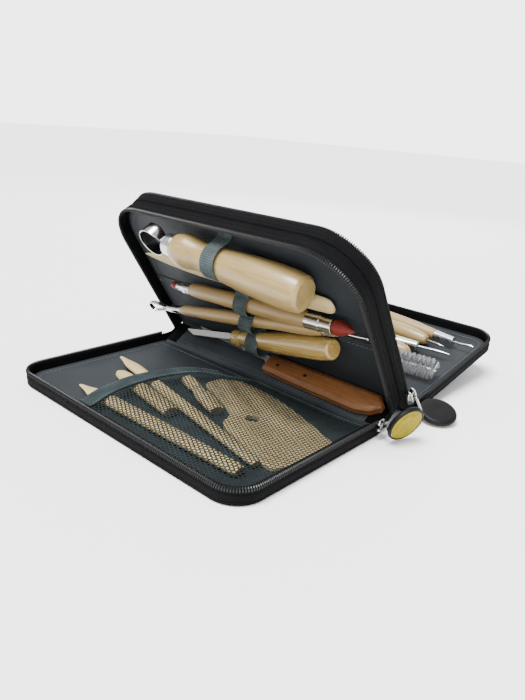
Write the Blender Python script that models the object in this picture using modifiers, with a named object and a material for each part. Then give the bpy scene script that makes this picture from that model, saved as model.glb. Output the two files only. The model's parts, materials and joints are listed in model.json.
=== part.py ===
"""Zip-round case of clay-modelling tools, standing open as three leaves.

The front cover lies flat, the centre leaf stands on the arched spine and leans over the front
cover, and the back cover lies behind it.  The origin is the middle of the front cover's
underside, +Y runs along the spine and +X from the front cover to the back cover.
"""
import math

import bpy
from mathutils import Matrix, Vector

MM = 0.001
GAP = 0.3

# Case, in millimetres: every leaf has the same plan, measured out from its hinge line.
LENGTH = 215.0
WIDTH = 131.0
COVER_CORNER = 19.0
LEAF_CORNER = 36.0
RIM_HEIGHT = 11.0
ZIP_HEIGHT = 1.7
WALL = 2.2
ZIP_WIDTH = 2.8
BOARD = 2.2
LEAF_BOARD = 2.4
LINING = 0.7
HINGE_CLEAR = 3.0
GROOVE = 1.0

# Spine: two strips that arch between the leaves; the centre leaf is square to the front strip.
STRIP = 25.7
STRIP_THICK = 2.0
STRIP_RISE = math.radians(33.0)
BACK_RAISE = math.radians(10.5)

# Heights over each leaf's own datum at which things lie.
COVER_BED = BOARD + GAP + LINING + GAP
LEAF_BED = LEAF_BOARD / 2 + GAP + LINING + GAP

# Net pocket on the front cover, the rib in it and the elastic on the leaf.
NET_UNDER = 10.6
NET_THICK = 0.6
BINDING_WIDTH = 12.0
BINDING_THICK = 1.0
POCKET_SPINE_EDGE = 13.0
STICK_LIFT = 3.4
STICK_FLAT = 0.62
RIB_THICK = 3.2
RIB_HOLE = 4.5
ELASTIC_WIDTH = 12.0
ELASTIC_THICK = 0.8
ELASTIC_AT = 5.5
ELASTIC_SLACK = 0.9
TOOL_LIFT = 6.2
BRUSH_LIFT = 9.2

TURN_STEPS = 18
COLORS = {
    "case_nylon": ((0.012, 0.013, 0.015), 0.75, 0.0),
    "zip_black": ((0.010, 0.010, 0.011), 0.35, 0.0),
    "board_core": ((0.020, 0.020, 0.022), 0.8, 0.0),
    "lining": ((0.055, 0.066, 0.075), 0.55, 0.0),
    "net": ((0.040, 0.060, 0.062), 0.6, 0.0),
    "elastic": ((0.075, 0.110, 0.115), 0.8, 0.0),
    "boxwood": ((0.62, 0.47, 0.27), 0.5, 0.0),
    "lacquered_wood": ((0.60, 0.40, 0.16), 0.3, 0.0),
    "hardwood": ((0.28, 0.11, 0.04), 0.45, 0.0),
    "steel": ((0.60, 0.60, 0.60), 0.25, 1.0),
    "aluminium": ((0.70, 0.70, 0.70), 0.35, 1.0),
    "rubber_red": ((0.42, 0.05, 0.03), 0.6, 0.0),
    "bristle": ((0.62, 0.62, 0.62), 0.4, 0.0),
    "disc_yellow": ((0.75, 0.55, 0.03), 0.35, 0.0),
}


def clear_scene():
    for old in list(bpy.data.objects):
        bpy.data.objects.remove(old, do_unlink=True)


def make_collection(name):
    made = bpy.data.collections.new(name)
    bpy.context.scene.collection.children.link(made)
    return made


def make_materials():
    made = {}
    for name, (color, roughness, metallic) in COLORS.items():
        material = bpy.data.materials.new(name)
        material.use_nodes = True
        shader = material.node_tree.nodes["Principled BSDF"]
        shader.inputs["Base Color"].default_value = (*color, 1.0)
        shader.inputs["Roughness"].default_value = roughness
        shader.inputs["Metallic"].default_value = metallic
        made[name] = material
    return made


def empty(name, parent, place=(0, 0, 0), turn=None):
    """A frame: place in the parent's millimetres, turn a rotation matrix."""
    frame = bpy.data.objects.new(name, None)
    frame.empty_display_size = 0.01
    frame.parent = parent
    frame.rotation_mode = "QUATERNION"
    frame.location = Vector(place) * MM
    if turn is not None:
        frame.rotation_quaternion = turn.to_quaternion()
    COLLECTION.objects.link(frame)
    return frame


def axis_frame(name, parent, start, end):
    """A tool's frame: origin at start, local Z along the tool, local Y off the leaf."""
    along = (Vector(end) - Vector(start)).normalized()
    side = Vector((0, 0, 1)).cross(along).normalized()
    face = along.cross(side)
    turn = Matrix((side, face, along)).transposed()
    return empty(name, parent, start, turn)


def adopt(name, data, parent, material, place=(0, 0, 0), turn=(0, 0, 0)):
    """Link one named part to its frame and give it a material slot."""
    part = bpy.data.objects.new(name, data)
    data.name = name
    data.materials.append(MATERIALS[material])
    part.parent = parent
    part.location = Vector(place) * MM
    part.rotation_euler = turn
    COLLECTION.objects.link(part)
    return part


def plate(name, parent, material, outline, low, high, turn=(0, 0, 0), hole=()):
    """A flat outline in X and Y, extruded from low to high along its own Z."""
    curve = bpy.data.curves.new(name, "CURVE")
    curve.dimensions = "2D"
    curve.fill_mode = "BOTH"
    curve.extrude = (high - low) / 2 * MM
    for ring in filter(None, (outline, hole)):
        spline = curve.splines.new("POLY")
        spline.points.add(len(ring) - 1)
        for point, (x, y) in zip(spline.points, ring):
            point.co = (x * MM, y * MM, 0, 1)
        spline.use_cyclic_u = True
    spin = Matrix.Rotation(turn[2], 4, "Z") @ Matrix.Rotation(turn[0], 4, "X")
    middle = spin @ Vector((0, 0, (low + high) / 2))
    return adopt(name, curve, parent, material, middle, (turn[0], 0, turn[2]))


def turned(name, parent, material, stations, flatten=1.0, steps=TURN_STEPS, ring=False):
    """A turned piece on the frame's Z axis, from (height, radius) stations; a ring has a bore."""
    mesh = bpy.data.meshes.new(name)
    profile = [(radius * MM, 0, height * MM) for height, radius in reversed(stations)]
    edges = [(at, at + 1) for at in range(len(profile) - 1)]
    if ring:
        edges.append((len(profile) - 1, 0))
    mesh.from_pydata(profile, edges, [])
    part = adopt(name, mesh, parent, material)
    part.scale = (1, flatten, 1)
    screw = part.modifiers.new("turn", "SCREW")
    screw.steps = steps
    screw.render_steps = steps
    screw.use_merge_vertices = True
    screw.merge_threshold = 0.00001
    return part


def wire(name, parent, material, points, radius, closed=False):
    """A round wire through points, closed into a ring or capped at its ends."""
    curve = bpy.data.curves.new(name, "CURVE")
    curve.dimensions = "3D"
    curve.bevel_depth = radius * MM
    curve.bevel_resolution = 2
    curve.use_fill_caps = not closed
    spline = curve.splines.new("POLY")
    spline.points.add(len(points) - 1)
    for point, place in zip(spline.points, points):
        point.co = (*[value * MM for value in place], 1)
    spline.use_cyclic_u = closed
    return adopt(name, curve, parent, material)


def block(name, parent, material, low, high, edge=0.0):
    """A box between two corners, its edges rounded by edge."""
    bpy.ops.mesh.primitive_cube_add(size=1)
    part = bpy.context.object
    part.name = name
    part.data.name = name
    part.data.materials.append(MATERIALS[material])
    size = Vector(high) - Vector(low)
    part.data.transform(Matrix.Diagonal((*(size * MM), 1)))
    part.parent = parent
    part.location = (Vector(low) + Vector(high)) / 2 * MM
    for owner in list(part.users_collection):
        owner.objects.unlink(part)
    COLLECTION.objects.link(part)
    if edge:
        bevel = part.modifiers.new("edges", "BEVEL")
        bevel.width = edge * MM
        bevel.segments = 1
    return part


def arc(center, radius, start, end, steps):
    """Points on an arc, angles in degrees."""
    angles = [math.radians(start + (end - start) * at / steps) for at in range(steps + 1)]
    return [(center[0] + radius * math.cos(a), center[1] + radius * math.sin(a)) for a in angles]


def rim_path(corner, inset, start):
    """Around three sides of a leaf, from start beside the hinge at -Y round to start at +Y."""
    outer = WIDTH - inset
    half = LENGTH / 2 - inset
    radius = corner - inset
    near = arc((outer - radius, -half + radius), radius, -90, 0, 6)
    far = arc((outer - radius, half - radius), radius, 0, 90, 6)
    return [(start, -half)] + near + far + [(start, half)]


def rim_band(corner, width, inset=0.0):
    """A band of the given width along the rim, open at the hinge."""
    outside = rim_path(corner, inset, HINGE_CLEAR)
    inside = rim_path(corner, inset + width, HINGE_CLEAR)
    return outside + inside[::-1]


def smooth_closed(points, steps=4):
    """A closed Catmull-Rom outline through a few points."""
    made = []
    count = len(points)
    for at in range(count):
        a, b, c, d = (Vector(points[(at + k) % count]) for k in (-1, 0, 1, 2))
        for step in range(steps):
            t = step / steps
            lead = (2 * b) + (c - a) * t
            bend = (2 * a - 5 * b + 4 * c - d) * t * t + (3 * b - a - 3 * c + d) * t ** 3
            made.append(tuple((lead + bend) / 2))
    return made


# ---- the three leaves and the spine ---------------------------------------------------------

def make_frames():
    """Hinge frames; each leaf's local X runs out from its hinge and Z faces its contents."""
    half_turn = Matrix.Rotation(math.pi, 3, "Z")
    edge = (WIDTH / 2, 0, 0)
    frames = {"front": empty("front_cover_frame", None, edge, half_turn)}
    rise = (STRIP * math.cos(STRIP_RISE), 0, STRIP * math.sin(STRIP_RISE))
    frames["leaf_hinge"] = empty("leaf_hinge", None, edge)
    out = Vector((-math.sin(STRIP_RISE), 0, math.cos(STRIP_RISE)))
    face = Vector((-math.cos(STRIP_RISE), 0, -math.sin(STRIP_RISE)))
    turn = Matrix((out, Vector((0, 1, 0)), face)).transposed()
    frames["leaf"] = empty("leaf_frame", frames["leaf_hinge"], rise, turn)
    frames["strip"] = empty("back_strip_hinge", frames["leaf_hinge"], rise,
                            Matrix.Rotation(STRIP_RISE, 3, "Y"))
    frames["back"] = empty("back_cover_hinge", frames["strip"], (STRIP, 0, 0),
                           Matrix.Rotation(-STRIP_RISE - BACK_RAISE, 3, "Y"))
    return frames


def make_cover(prefix, frame):
    """Board, wall, zip half and lining of one cover."""
    board = rim_path(COVER_CORNER, WALL + GAP, HINGE_CLEAR)
    plate(prefix + "_board", frame, "board_core", board, 0, BOARD)
    wall = rim_band(COVER_CORNER, WALL)
    plate(prefix + "_wall", frame, "case_nylon", wall, 0, RIM_HEIGHT - ZIP_HEIGHT - GAP)
    zip_band = rim_band(COVER_CORNER, ZIP_WIDTH)
    plate(prefix + "_zip", frame, "zip_black", zip_band, RIM_HEIGHT - ZIP_HEIGHT, RIM_HEIGHT)
    lining = rim_path(COVER_CORNER, WALL + 2 * GAP, HINGE_CLEAR)
    plate(prefix + "_lining", frame, "lining", lining, BOARD + GAP, BOARD + GAP + LINING)


def make_pocket(frame):
    """Net over most of the front cover and the binding along its mouth."""
    inner = WIDTH - ZIP_WIDTH - GAP
    near = LENGTH / 2 - ZIP_WIDTH - GAP
    corner = COVER_CORNER - ZIP_WIDTH
    mouth = [(inner, -34), (106, -40), (84, -42.5), (58, -39), (38, -30), (26, -16)]
    bound = [(26, 0), (POCKET_SPINE_EDGE, 20), (POCKET_SPINE_EDGE, near)]
    turn = arc((inner - corner, near - corner), corner, 90, 0, 6)
    drop = [(x, y + BINDING_WIDTH) for x, y in mouth]
    net = [(x, y + GAP) for x, y in drop] + bound[1:] + turn
    plate("pocket_net", frame, "net", net, NET_UNDER, NET_UNDER + NET_THICK)
    binding = mouth + drop[::-1]
    plate("pocket_binding", frame, "elastic", binding, NET_UNDER, NET_UNDER + BINDING_THICK)


def make_leaf(frame):
    """Centre leaf: one board, a shell and zip half on each side, and the front spine strip."""
    board = rim_path(LEAF_CORNER, GROOVE, GAP)
    plate("leaf_board", frame, "board_core", board, -LEAF_BOARD / 2, LEAF_BOARD / 2)
    foot = LEAF_BOARD / 2 + GAP
    for side, sign in (("front", 1), ("back", -1)):
        wall = sorted((sign * foot, sign * (RIM_HEIGHT - ZIP_HEIGHT - GAP)))
        plate(f"leaf_{side}_wall", frame, "case_nylon", rim_band(LEAF_CORNER, WALL), *wall)
        rim = sorted((sign * (RIM_HEIGHT - ZIP_HEIGHT), sign * RIM_HEIGHT))
        plate(f"leaf_{side}_zip", frame, "zip_black", rim_band(LEAF_CORNER, ZIP_WIDTH), *rim)
        skin = sorted((sign * foot, sign * (foot + LINING)))
        lining = rim_path(LEAF_CORNER, WALL + GAP, HINGE_CLEAR)
        plate(f"leaf_{side}_lining", frame, "lining", lining, *skin)
    half = LENGTH / 2 - WALL - GAP
    low = (0, -half, HINGE_CLEAR)
    high = (STRIP_THICK, half, STRIP - HINGE_CLEAR)
    block("front_spine_strip", frame, "lining", low, high)


def make_back_strip(frame):
    half = LENGTH / 2 - WALL - GAP
    low = (HINGE_CLEAR, -half, 0)
    high = (STRIP - HINGE_CLEAR, half, STRIP_THICK)
    block("back_spine_strip", frame, "lining", low, high)


# ---- tools in the net pocket, in the front cover's frame (x out, y towards the near end) ----

def tapered_stick(stations, tip, length):
    """Stations of a stick whose far end narrows to a tip."""
    return [(0, 0)] + stations + [(length - tip, stations[-1][1]), (length - 1.5, 1.2), (length, 0)]


def make_pocket_tools(frame):
    """Four boxwood sticks and a wooden rib lying under the net."""
    lift = COVER_BED + STICK_LIFT
    flat = STICK_FLAT
    near = axis_frame("long_stick_frame", frame, (108.0, 87.5, lift), (110.5, -61.0, lift))
    stations = [(0, 3.6), (3, 4.8), (60, 5.4), (118, 5.2)]
    turned("long_stick", near, "boxwood", tapered_stick(stations, 26, 148.5), flat)

    slant = axis_frame("slant_stick_frame", frame, (95.5, 88.0, lift), (58.5, -88.0, lift))
    stations = [(0, 2.6), (3, 3.8), (80, 4.4), (140, 4.6)]
    turned("slant_stick", slant, "boxwood", tapered_stick(stations, 30, 179.0), flat)

    short = axis_frame("round_stick_frame", frame, (90.5, 10.0, lift), (77.5, -64.0, lift))
    stations = [(0, 0), (0, 4.6), (1.5, 5.4), (40, 5.6), (62, 5.4), (70, 4.2), (74.0, 1.8), (74.9, 0)]
    turned("round_stick", short, "boxwood", stations, flat)

    neck = axis_frame("necked_stick_frame", frame, (67.0, 27.0, lift), (45.0, -31.0, lift))
    stations = [(0, 0), (0, 4.4), (1.5, 5.2), (26, 5.2), (33, 3.8), (38, 4.6), (54, 4.2), (61, 1.6),
                (62.0, 0)]
    turned("necked_stick", neck, "boxwood", stations, flat)

    outline = [(36, -12), (22, 4), (19, 40), (26, 80), (47, 101), (84, 101), (87, 88), (74, 44), (62, 33),
               (50, 5), (46, -6)]
    hole = arc((56.5, 48.0), RIB_HOLE, 0, 330, 11)
    plate("wood_rib", frame, "boxwood", smooth_closed(outline), COVER_BED, COVER_BED + RIB_THICK,
          hole=hole)


# ---- tools under the leaf's elastic, in the leaf's frame (x out, y far, z off the leaf) ------

def make_ribbon_tool(frame):
    """Large turned handle with an aluminium ferrule and a steel strap loop."""
    tool = axis_frame("ribbon_tool_frame", frame, (100.9, -72.4, 15.4), (111.6, 34.0, 15.4))
    handle = [(0, 0), (0, 8.6), (1.6, 10.4), (5, 11.9), (14, 12.5), (34, 12.3), (52, 11.4), (68, 10.2),
              (72, 9.7), (86, 9.7), (89, 10.6), (95, 11.5), (100, 11.2), (104, 10.0), (107, 7.9), (107, 0)]
    turned("ribbon_tool_handle", tool, "boxwood", handle)
    ferrule = [(107.3, 0), (107.3, 7.6), (114, 7.4), (115.5, 6.4), (115.5, 0)]
    turned("ribbon_tool_ferrule", tool, "aluminium", ferrule)
    root = 115.8
    outside = arc((0, root + 21), 12.5, -28, 208, 14)
    inside = arc((0, root + 21), 11.5, 208, -28, 14)
    strap = [(5.0, root)] + outside + [(-5.0, root), (-4.0, root)] + inside + [(4.0, root)]
    plate("ribbon_tool_strap", tool, "steel", strap, -4.5, 4.5, (math.pi / 2, 0, 0))


def make_leaf_knife(frame):
    """Flat boxwood blade behind the large handle, pointed at one end and round at the other."""
    tool = axis_frame("leaf_knife_frame", frame, (84.8, -81.0, 5.3), (83.2, 97.0, 5.3))
    half = [(0, 3.0), (3, 5.4), (9, 6.4), (60, 6.6), (105, 7.4), (135, 6.6), (160, 4.0), (176, 0.6)]
    outline = [(width, height) for height, width in half] + [(0, 178)]
    outline += [(-width, height) for height, width in reversed(half)]
    plate("leaf_knife", tool, "boxwood", outline, -2.5, 2.5, (math.pi / 2, 0, 0))


def make_shaper(frame):
    """Double-ended clay shaper: soft red tips in chromed ferrules on a turned wooden handle."""
    tool = axis_frame("shaper_frame", frame, (73.4, -95.5, 9.2), (61.0, 76.0, 9.2))
    tip = [(0, 0), (1, 0.7), (9, 4.4), (11, 4.8), (15, 4.6), (15, 0)]
    turned("shaper_near_tip", tool, "rubber_red", tip)
    ferrule = [(15.3, 0), (15.3, 4.9), (24, 5.0), (25, 5.5), (35.5, 5.6), (35.5, 0)]
    turned("shaper_near_ferrule", tool, "steel", ferrule)
    handle = [(35.8, 0), (35.8, 5.0), (37, 5.3), (60, 5.9), (110, 6.2), (134, 6.0), (144, 5.0), (148, 3.9),
              (148, 0)]
    turned("shaper_handle", tool, "boxwood", handle)
    ferrule = [(148.3, 0), (148.3, 4.1), (157, 3.9), (159, 3.2), (163.5, 3.1), (163.5, 0)]
    turned("shaper_far_ferrule", tool, "steel", ferrule)
    tip = [(163.8, 0), (163.8, 2.8), (168, 2.9), (171, 2.0), (172.2, 0)]
    turned("shaper_far_tip", tool, "rubber_red", tip)


def make_detail_tool(frame):
    """Double-ended detail tool: a steel ribbon loop at one end and a ball stylus at the other."""
    tool = axis_frame("detail_tool_frame", frame, (61.5, -66.7, 6.8), (36.4, 108.2, 18.4))
    stylus = [(1.5, 0, -34), (1.2, 0, -26), (0.4, 0, -19), (0, 0, -13.3)]
    wire("detail_tool_stylus", tool, "steel", stylus, 0.7)
    ferrule = [(-13, 0), (-13, 2.0), (-11, 2.5), (-0.3, 3.0), (-0.3, 0)]
    turned("detail_tool_near_ferrule", tool, "aluminium", ferrule)
    handle = [(0, 0), (0, 3.0), (3, 3.3), (40, 4.3), (80, 5.1), (108, 5.0), (128, 4.0), (136.5, 3.2),
              (136.5, 0)]
    turned("detail_tool_handle", tool, "boxwood", handle)
    ferrule = [(136.8, 0), (136.8, 3.2), (148, 3.0), (155, 2.2), (155, 0)]
    turned("detail_tool_far_ferrule", tool, "steel", ferrule)
    root = 155.3
    outside = arc((0, root + 17), 4.6, -20, 200, 8)
    inside = arc((0, root + 17), 3.8, 200, -20, 8)
    loop = [(1.9, root)] + outside + [(-1.9, root), (-1.1, root)] + inside + [(1.1, root)]
    plate("detail_tool_loop", tool, "steel", loop, -1.6, 1.6, (math.pi / 2, 0, 0))


def make_clay_knife(frame):
    """Turned lacquered handle with a narrow flat steel blade."""
    tool = axis_frame("clay_knife_frame", frame, (52.0, -75.5, 11.0), (23.6, 26.4, 11.0))
    handle = [(1.4, 0), (0.9, 4.0), (0, 5.6), (0.6, 7.2), (4, 8.1), (22, 8.4), (56, 7.7), (76, 6.9),
              (80, 6.5), (92, 6.5), (95, 7.4), (100, 7.6), (104, 6.6), (105.8, 4.6), (105.8, 0)]
    turned("clay_knife_handle", tool, "lacquered_wood", handle)
    blade = [(-2.4, 106.1), (2.4, 106.1), (2.4, 160), (-2.2, 170)]
    plate("clay_knife_blade", tool, "steel", blade, -0.6, 0.6, (math.pi / 2, 0, 0))


def make_potter_knife(frame):
    """Riveted hardwood knife lying on the front spine strip, edge towards the leaf."""
    tool = axis_frame("potter_knife_frame", frame, (7.0, -102.0, 12.6), (8.2, 20.0, 12.0))
    grip = [(0, -4.5), (3.5, -8), (118, -7.2), (122, -5.5), (122, 7.0), (12, 8), (3.5, 6), (0, 1.5)]
    outline = [(height, across) for across, height in grip]
    for side, low, high in (("lower", 0.9, 4.2), ("upper", -4.2, -0.9)):
        plate(f"potter_knife_{side}_scale", tool, "hardwood", outline, low, high,
              (math.pi / 2, 0, math.pi / 2))
    blade = [(-6.2, 3), (5.0, 3), (6.0, 118), (2.0, 123), (-1.5, 150), (-6.0, 180), (-7.4, 178),
             (-7.6, 124), (-5.6, 117)]
    plate("potter_knife_blade", tool, "steel", blade, -0.6, 0.6, (math.pi / 2, 0, math.pi / 2))


def loop_over(center, lift, radius):
    """The elastic's path over one round tool, running in towards the spine."""
    return arc((center, lift), radius + ELASTIC_SLACK, 0, 180, 8)


def offset_path(path, distance):
    """Move an open path sideways by a distance, mitred at its corners."""
    moved = []
    for at, point in enumerate(path):
        before = Vector(path[max(at - 1, 0)])
        after = Vector(path[min(at + 1, len(path) - 1)])
        here = Vector(point)
        normals = []
        for a, b in ((before, here), (here, after)):
            run = b - a
            if run.length > 1e-6:
                normals.append(Vector((run.y, -run.x)).normalized())
        push = sum(normals, Vector((0, 0))).normalized()
        scale = 1.0 / max(0.5, push.dot(normals[0]))
        moved.append(tuple(here + push * distance * min(scale, 1.6)))
    return moved


def make_elastic(frame):
    """One woven band across the leaf, raised over every tool."""
    path = [(124.5, LEAF_BED), (121.0, LEAF_BED)]
    path += loop_over(108.7, 15.4, 10.3)
    path += [(96.4, LEAF_BED), (92.8, LEAF_BED), (91.6, 9.0), (77.4, 9.0)]
    path += loop_over(66.3, 9.2, 6.9)
    path += [(58.3, 7.0)]
    path += loop_over(50.4, 11.6, 6.1)
    path += [(43.2, LEAF_BED), (39.6, LEAF_BED)]
    path += loop_over(29.4, 11.0, 8.5)
    path += [(19.2, LEAF_BED), (15.6, LEAF_BED), (14.2, 20.6), (12.4, 21.8), (5.0, 21.8)]
    band = path + offset_path(path, ELASTIC_THICK)[::-1]
    low = -ELASTIC_AT - ELASTIC_WIDTH / 2
    plate("tool_elastic", frame, "elastic", band, low, low + ELASTIC_WIDTH, (math.pi / 2, 0, 0))


# ---- tools on the back cover, in its own frame (x out, y far, z up from the cover) ----------

def make_back_tools(frame):
    """Hook tool, two needles and a round-ended stick."""
    lift = COVER_BED + TOOL_LIFT
    hook = axis_frame("hook_tool_frame", frame, (113.0, 48.0, lift), (100.0, -68.0, lift))
    grip = [(0, 0), (0, 4.4), (2, 5.4), (50, 6.0), (100, 5.4), (116.7, 4.2), (116.7, 0)]
    turned("hook_tool_handle", hook, "boxwood", grip)
    collar = [(117, 0), (117, 4.2), (134, 3.4), (134, 0)]
    turned("hook_tool_ferrule", hook, "steel", collar)
    bent = [(0, 0, 134.3), (0, 0, 141), (1.2, 0.6, 147), (1.2, 0.6, 151)]
    wire("hook_tool_wire", hook, "steel", bent, 0.8)

    thin = axis_frame("needle_tool_frame", frame, (99.0, 38.0, lift), (87.6, -67.5, lift))
    grip = [(0, 0), (0, 4.2), (2, 5.2), (50, 5.8), (98, 5.4), (104, 4.4), (106.1, 3.0), (106.1, 0)]
    turned("needle_tool_handle", thin, "boxwood", grip)
    turned("needle_tool_pin", thin, "steel", [(106.4, 0), (106.4, 0.8), (118, 0.7), (122, 0)], steps=8)

    pin = axis_frame("pin_tool_frame", frame, (64.5, 40.0, lift), (74.2, -67.2, lift))
    grip = [(0, 0), (0, 4.0), (2, 5.0), (50, 5.4), (88, 4.6), (88, 0)]
    turned("pin_tool_handle", pin, "boxwood", grip)
    steel = [(88.3, 0), (88.3, 4.5), (107, 3.6), (108, 0.9), (130, 0.7), (134, 0)]
    turned("pin_tool_pin", pin, "steel", steel)

    plain = axis_frame("round_tool_frame", frame, (50.0, 45.0, lift), (62.6, -67.0, lift))
    grip = [(0, 0), (0, 4.2), (2, 5.2), (60, 5.6), (105, 5.2), (110, 3.8), (112.7, 1.2), (112.9, 0)]
    turned("round_tool", plain, "boxwood", grip)


def make_brush(frame):
    """Round brush: a tuft of bristles on a core that is bent into a finger loop."""
    lift = COVER_BED + BRUSH_LIFT
    brush = axis_frame("brush_frame", frame, (37.0, 10.0, lift), (43.5, -100.0, lift))
    tuft = [(64, 1.3), (64, 8.6), (66, 9.0), (100, 9.0), (107, 8.0), (109, 1.3)]
    turned("brush_bristles", brush, "bristle", tuft, ring=True)
    loop = [(x, 0, z) for x, z in arc((0, 0), 5.5, -55, 235, 12)]
    core = loop + [(0, 0, 2.0), (0, 0, 60), (0, 0, 109.5)]
    wire("brush_wire", brush, "steel", core, 0.9)


# ---- zip sliders and their pulls -------------------------------------------------------------

def make_sliders(frames):
    """A slider parked at the spine end of each zip, just outside the near wall."""
    near = LENGTH / 2 + GAP
    block("front_slider", frames["front"], "steel", (1.5, near, 7.0), (10.5, near + 5, 12.5), 0.8)
    low = (-2.5, -near - 5, -RIM_HEIGHT - 0.8)
    high = (6.5, -near, -RIM_HEIGHT + 4.7)
    block("back_slider", frames["leaf"], "steel", low, high, 0.8)


def make_pull(side, eye, center, face):
    """A wire link from the slider's eye to a round rubber-rimmed disc."""
    reach = Vector(center) - Vector(eye)
    face = Vector(face).normalized()
    toward = (reach - face * reach.dot(face)).normalized()
    cross = face.cross(toward)
    turn = Matrix((toward, cross, face)).transposed()
    hinge = empty(f"{side}_pull_hinge", None, eye)
    disc = empty(f"{side}_pull_frame", hinge, reach, turn)
    turned(f"{side}_pull_disc", disc, "disc_yellow", [(-2, 0), (-2, 11), (-1.4, 12), (1.4, 12),
                                                      (2, 11), (2, 0)], steps=24)
    start = -13.0
    back = 1.6 - reach.length
    ring = [(start, 2.2, 0), (start, -2.2, 0), (back, -1.4, 0), (back, 1.4, 0)]
    wire(f"{side}_pull_link", disc, "steel", ring, 0.6, closed=True)


def build():
    frames = make_frames()
    make_cover("front_cover", frames["front"])
    make_pocket(frames["front"])
    make_pocket_tools(frames["front"])
    make_leaf(frames["leaf"])
    make_elastic(frames["leaf"])
    make_ribbon_tool(frames["leaf"])
    make_leaf_knife(frames["leaf"])
    make_shaper(frames["leaf"])
    make_detail_tool(frames["leaf"])
    make_clay_knife(frames["leaf"])
    make_potter_knife(frames["leaf"])
    make_back_strip(frames["strip"])
    make_cover("back_cover", frames["back"])
    make_back_tools(frames["back"])
    make_brush(frames["back"])
    make_sliders(frames)
    make_pull("front", (59.5, -114.0, 9.8), (74.0, -123.0, 13.4), (-0.23, -0.89, -0.395))
    make_pull("back", (93.4, -114.0, 19.9), (113.5, -121.5, 6.2), (0.2, 0.2, -0.96))
    bpy.context.view_layer.update()


clear_scene()
COLLECTION = make_collection("clay_tool_case")
MATERIALS = make_materials()
build()
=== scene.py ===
import json
import math

import bmesh
import bpy
import numpy as np
from mathutils import Matrix

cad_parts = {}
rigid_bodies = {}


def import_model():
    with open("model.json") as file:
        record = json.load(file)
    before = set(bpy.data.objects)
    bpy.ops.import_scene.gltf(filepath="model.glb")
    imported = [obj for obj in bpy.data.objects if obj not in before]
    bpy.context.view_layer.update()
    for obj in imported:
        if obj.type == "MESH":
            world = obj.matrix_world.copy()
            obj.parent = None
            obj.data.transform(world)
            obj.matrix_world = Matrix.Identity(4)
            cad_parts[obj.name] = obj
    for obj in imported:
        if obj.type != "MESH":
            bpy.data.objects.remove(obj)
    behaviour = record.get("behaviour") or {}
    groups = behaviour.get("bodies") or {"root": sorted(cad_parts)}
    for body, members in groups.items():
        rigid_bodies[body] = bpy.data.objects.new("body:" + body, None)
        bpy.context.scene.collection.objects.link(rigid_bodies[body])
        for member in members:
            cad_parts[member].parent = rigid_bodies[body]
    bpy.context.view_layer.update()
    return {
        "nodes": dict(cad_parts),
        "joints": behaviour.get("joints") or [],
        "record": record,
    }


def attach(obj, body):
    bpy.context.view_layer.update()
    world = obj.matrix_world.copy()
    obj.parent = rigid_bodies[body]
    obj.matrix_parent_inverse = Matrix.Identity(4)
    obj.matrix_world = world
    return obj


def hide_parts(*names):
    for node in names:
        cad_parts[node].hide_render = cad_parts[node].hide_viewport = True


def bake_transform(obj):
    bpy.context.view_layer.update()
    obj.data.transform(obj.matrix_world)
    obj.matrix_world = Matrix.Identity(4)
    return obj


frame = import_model()

# ---- driving dimensions, in millimetres as in the CAD source ----------------------------------

MM = 0.001
LENGTH = 215.0
WIDTH = 131.0
HALF = LENGTH / 2
COVER_CORNER = 19.0
LEAF_CORNER = 36.0
HINGE_CLEAR = 3.0
STRIP = 25.7
STRIP_RISE = math.radians(33.0)
BACK_RAISE = math.radians(10.5)
STICK_FLAT = 0.62
FLOOR_TOP = 3.2
END = 105.0          # half the length of the padded spine strips
WEB_SIDE = 106.3     # where the upright end webs stand
WEB_TOP = 8.2
STRIP_END = 3.2      # strips, webs and patches stop short of their folds
ZIP_PITCH = 1.4
STITCH_PITCH = 3.3
STITCH_SHARE = 0.7   # how much of the pitch shows as thread
STITCH_RADIUS = 0.24
STITCH_SLANT = 0.16
POCKET_MOUTH = [(125.5, -34), (106, -40), (84, -42.5), (58, -39), (38, -30), (26, -16)]
BINDING = 12.0
ELASTIC = 12.0
NET_PITCH = 2.6
RIB_OUTLINE = [(36, -12), (26, -9), (19, 4), (22, 40), (31, 70), (40, 94), (44, 100), (62, 100), (84, 99),
               (92, 92), (86, 70), (76, 42), (62, 33), (50, 8), (44, -8)]


def unit(vector):
    vector = np.asarray(vector, float)
    return vector / np.linalg.norm(vector)


def unit_rows(vectors):
    """Each row scaled to length one."""
    return vectors / np.linalg.norm(vectors, axis=1)[:, None]


def walked(points):
    """The distance walked from the first point to each point."""
    return np.concatenate([[0], np.cumsum(np.linalg.norm(np.diff(points, axis=0), axis=1))])


def make_frame(place, x_axis, z_axis):
    """A frame as a 4x4 matrix in millimetres."""
    x, z = unit(x_axis), unit(z_axis)
    made = np.eye(4)
    made[:3, 0], made[:3, 1], made[:3, 2], made[:3, 3] = x, np.cross(z, x), z, place
    return made


SIN, COS = math.sin(STRIP_RISE), math.cos(STRIP_RISE)
ROOT = np.array([WIDTH / 2 + STRIP * COS, 0, STRIP * SIN])
WORLD = np.eye(4)
FRONT = make_frame((WIDTH / 2, 0, 0), (-1, 0, 0), (0, 0, 1))
LEAF = make_frame(ROOT, (-SIN, 0, COS), (-COS, 0, -SIN))
SPINE = make_frame(ROOT, (COS, 0, -SIN), (SIN, 0, COS))
BACK = make_frame(ROOT + STRIP * SPINE[:3, 0], (math.cos(BACK_RAISE), 0, math.sin(BACK_RAISE)),
                  (-math.sin(BACK_RAISE), 0, math.cos(BACK_RAISE)))


def to_world(place, points):
    """A frame's points in the world's millimetres."""
    points = np.asarray(points, float).reshape(-1, 3)
    return points @ place[:3, :3].T + place[:3, 3]


def to_local(place, points):
    """The world's millimetres in a frame."""
    return (np.asarray(points, float) - place[:3, 3]) @ place[:3, :3]


# ---- materials ----------------------------------------------------------------------------------

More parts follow.
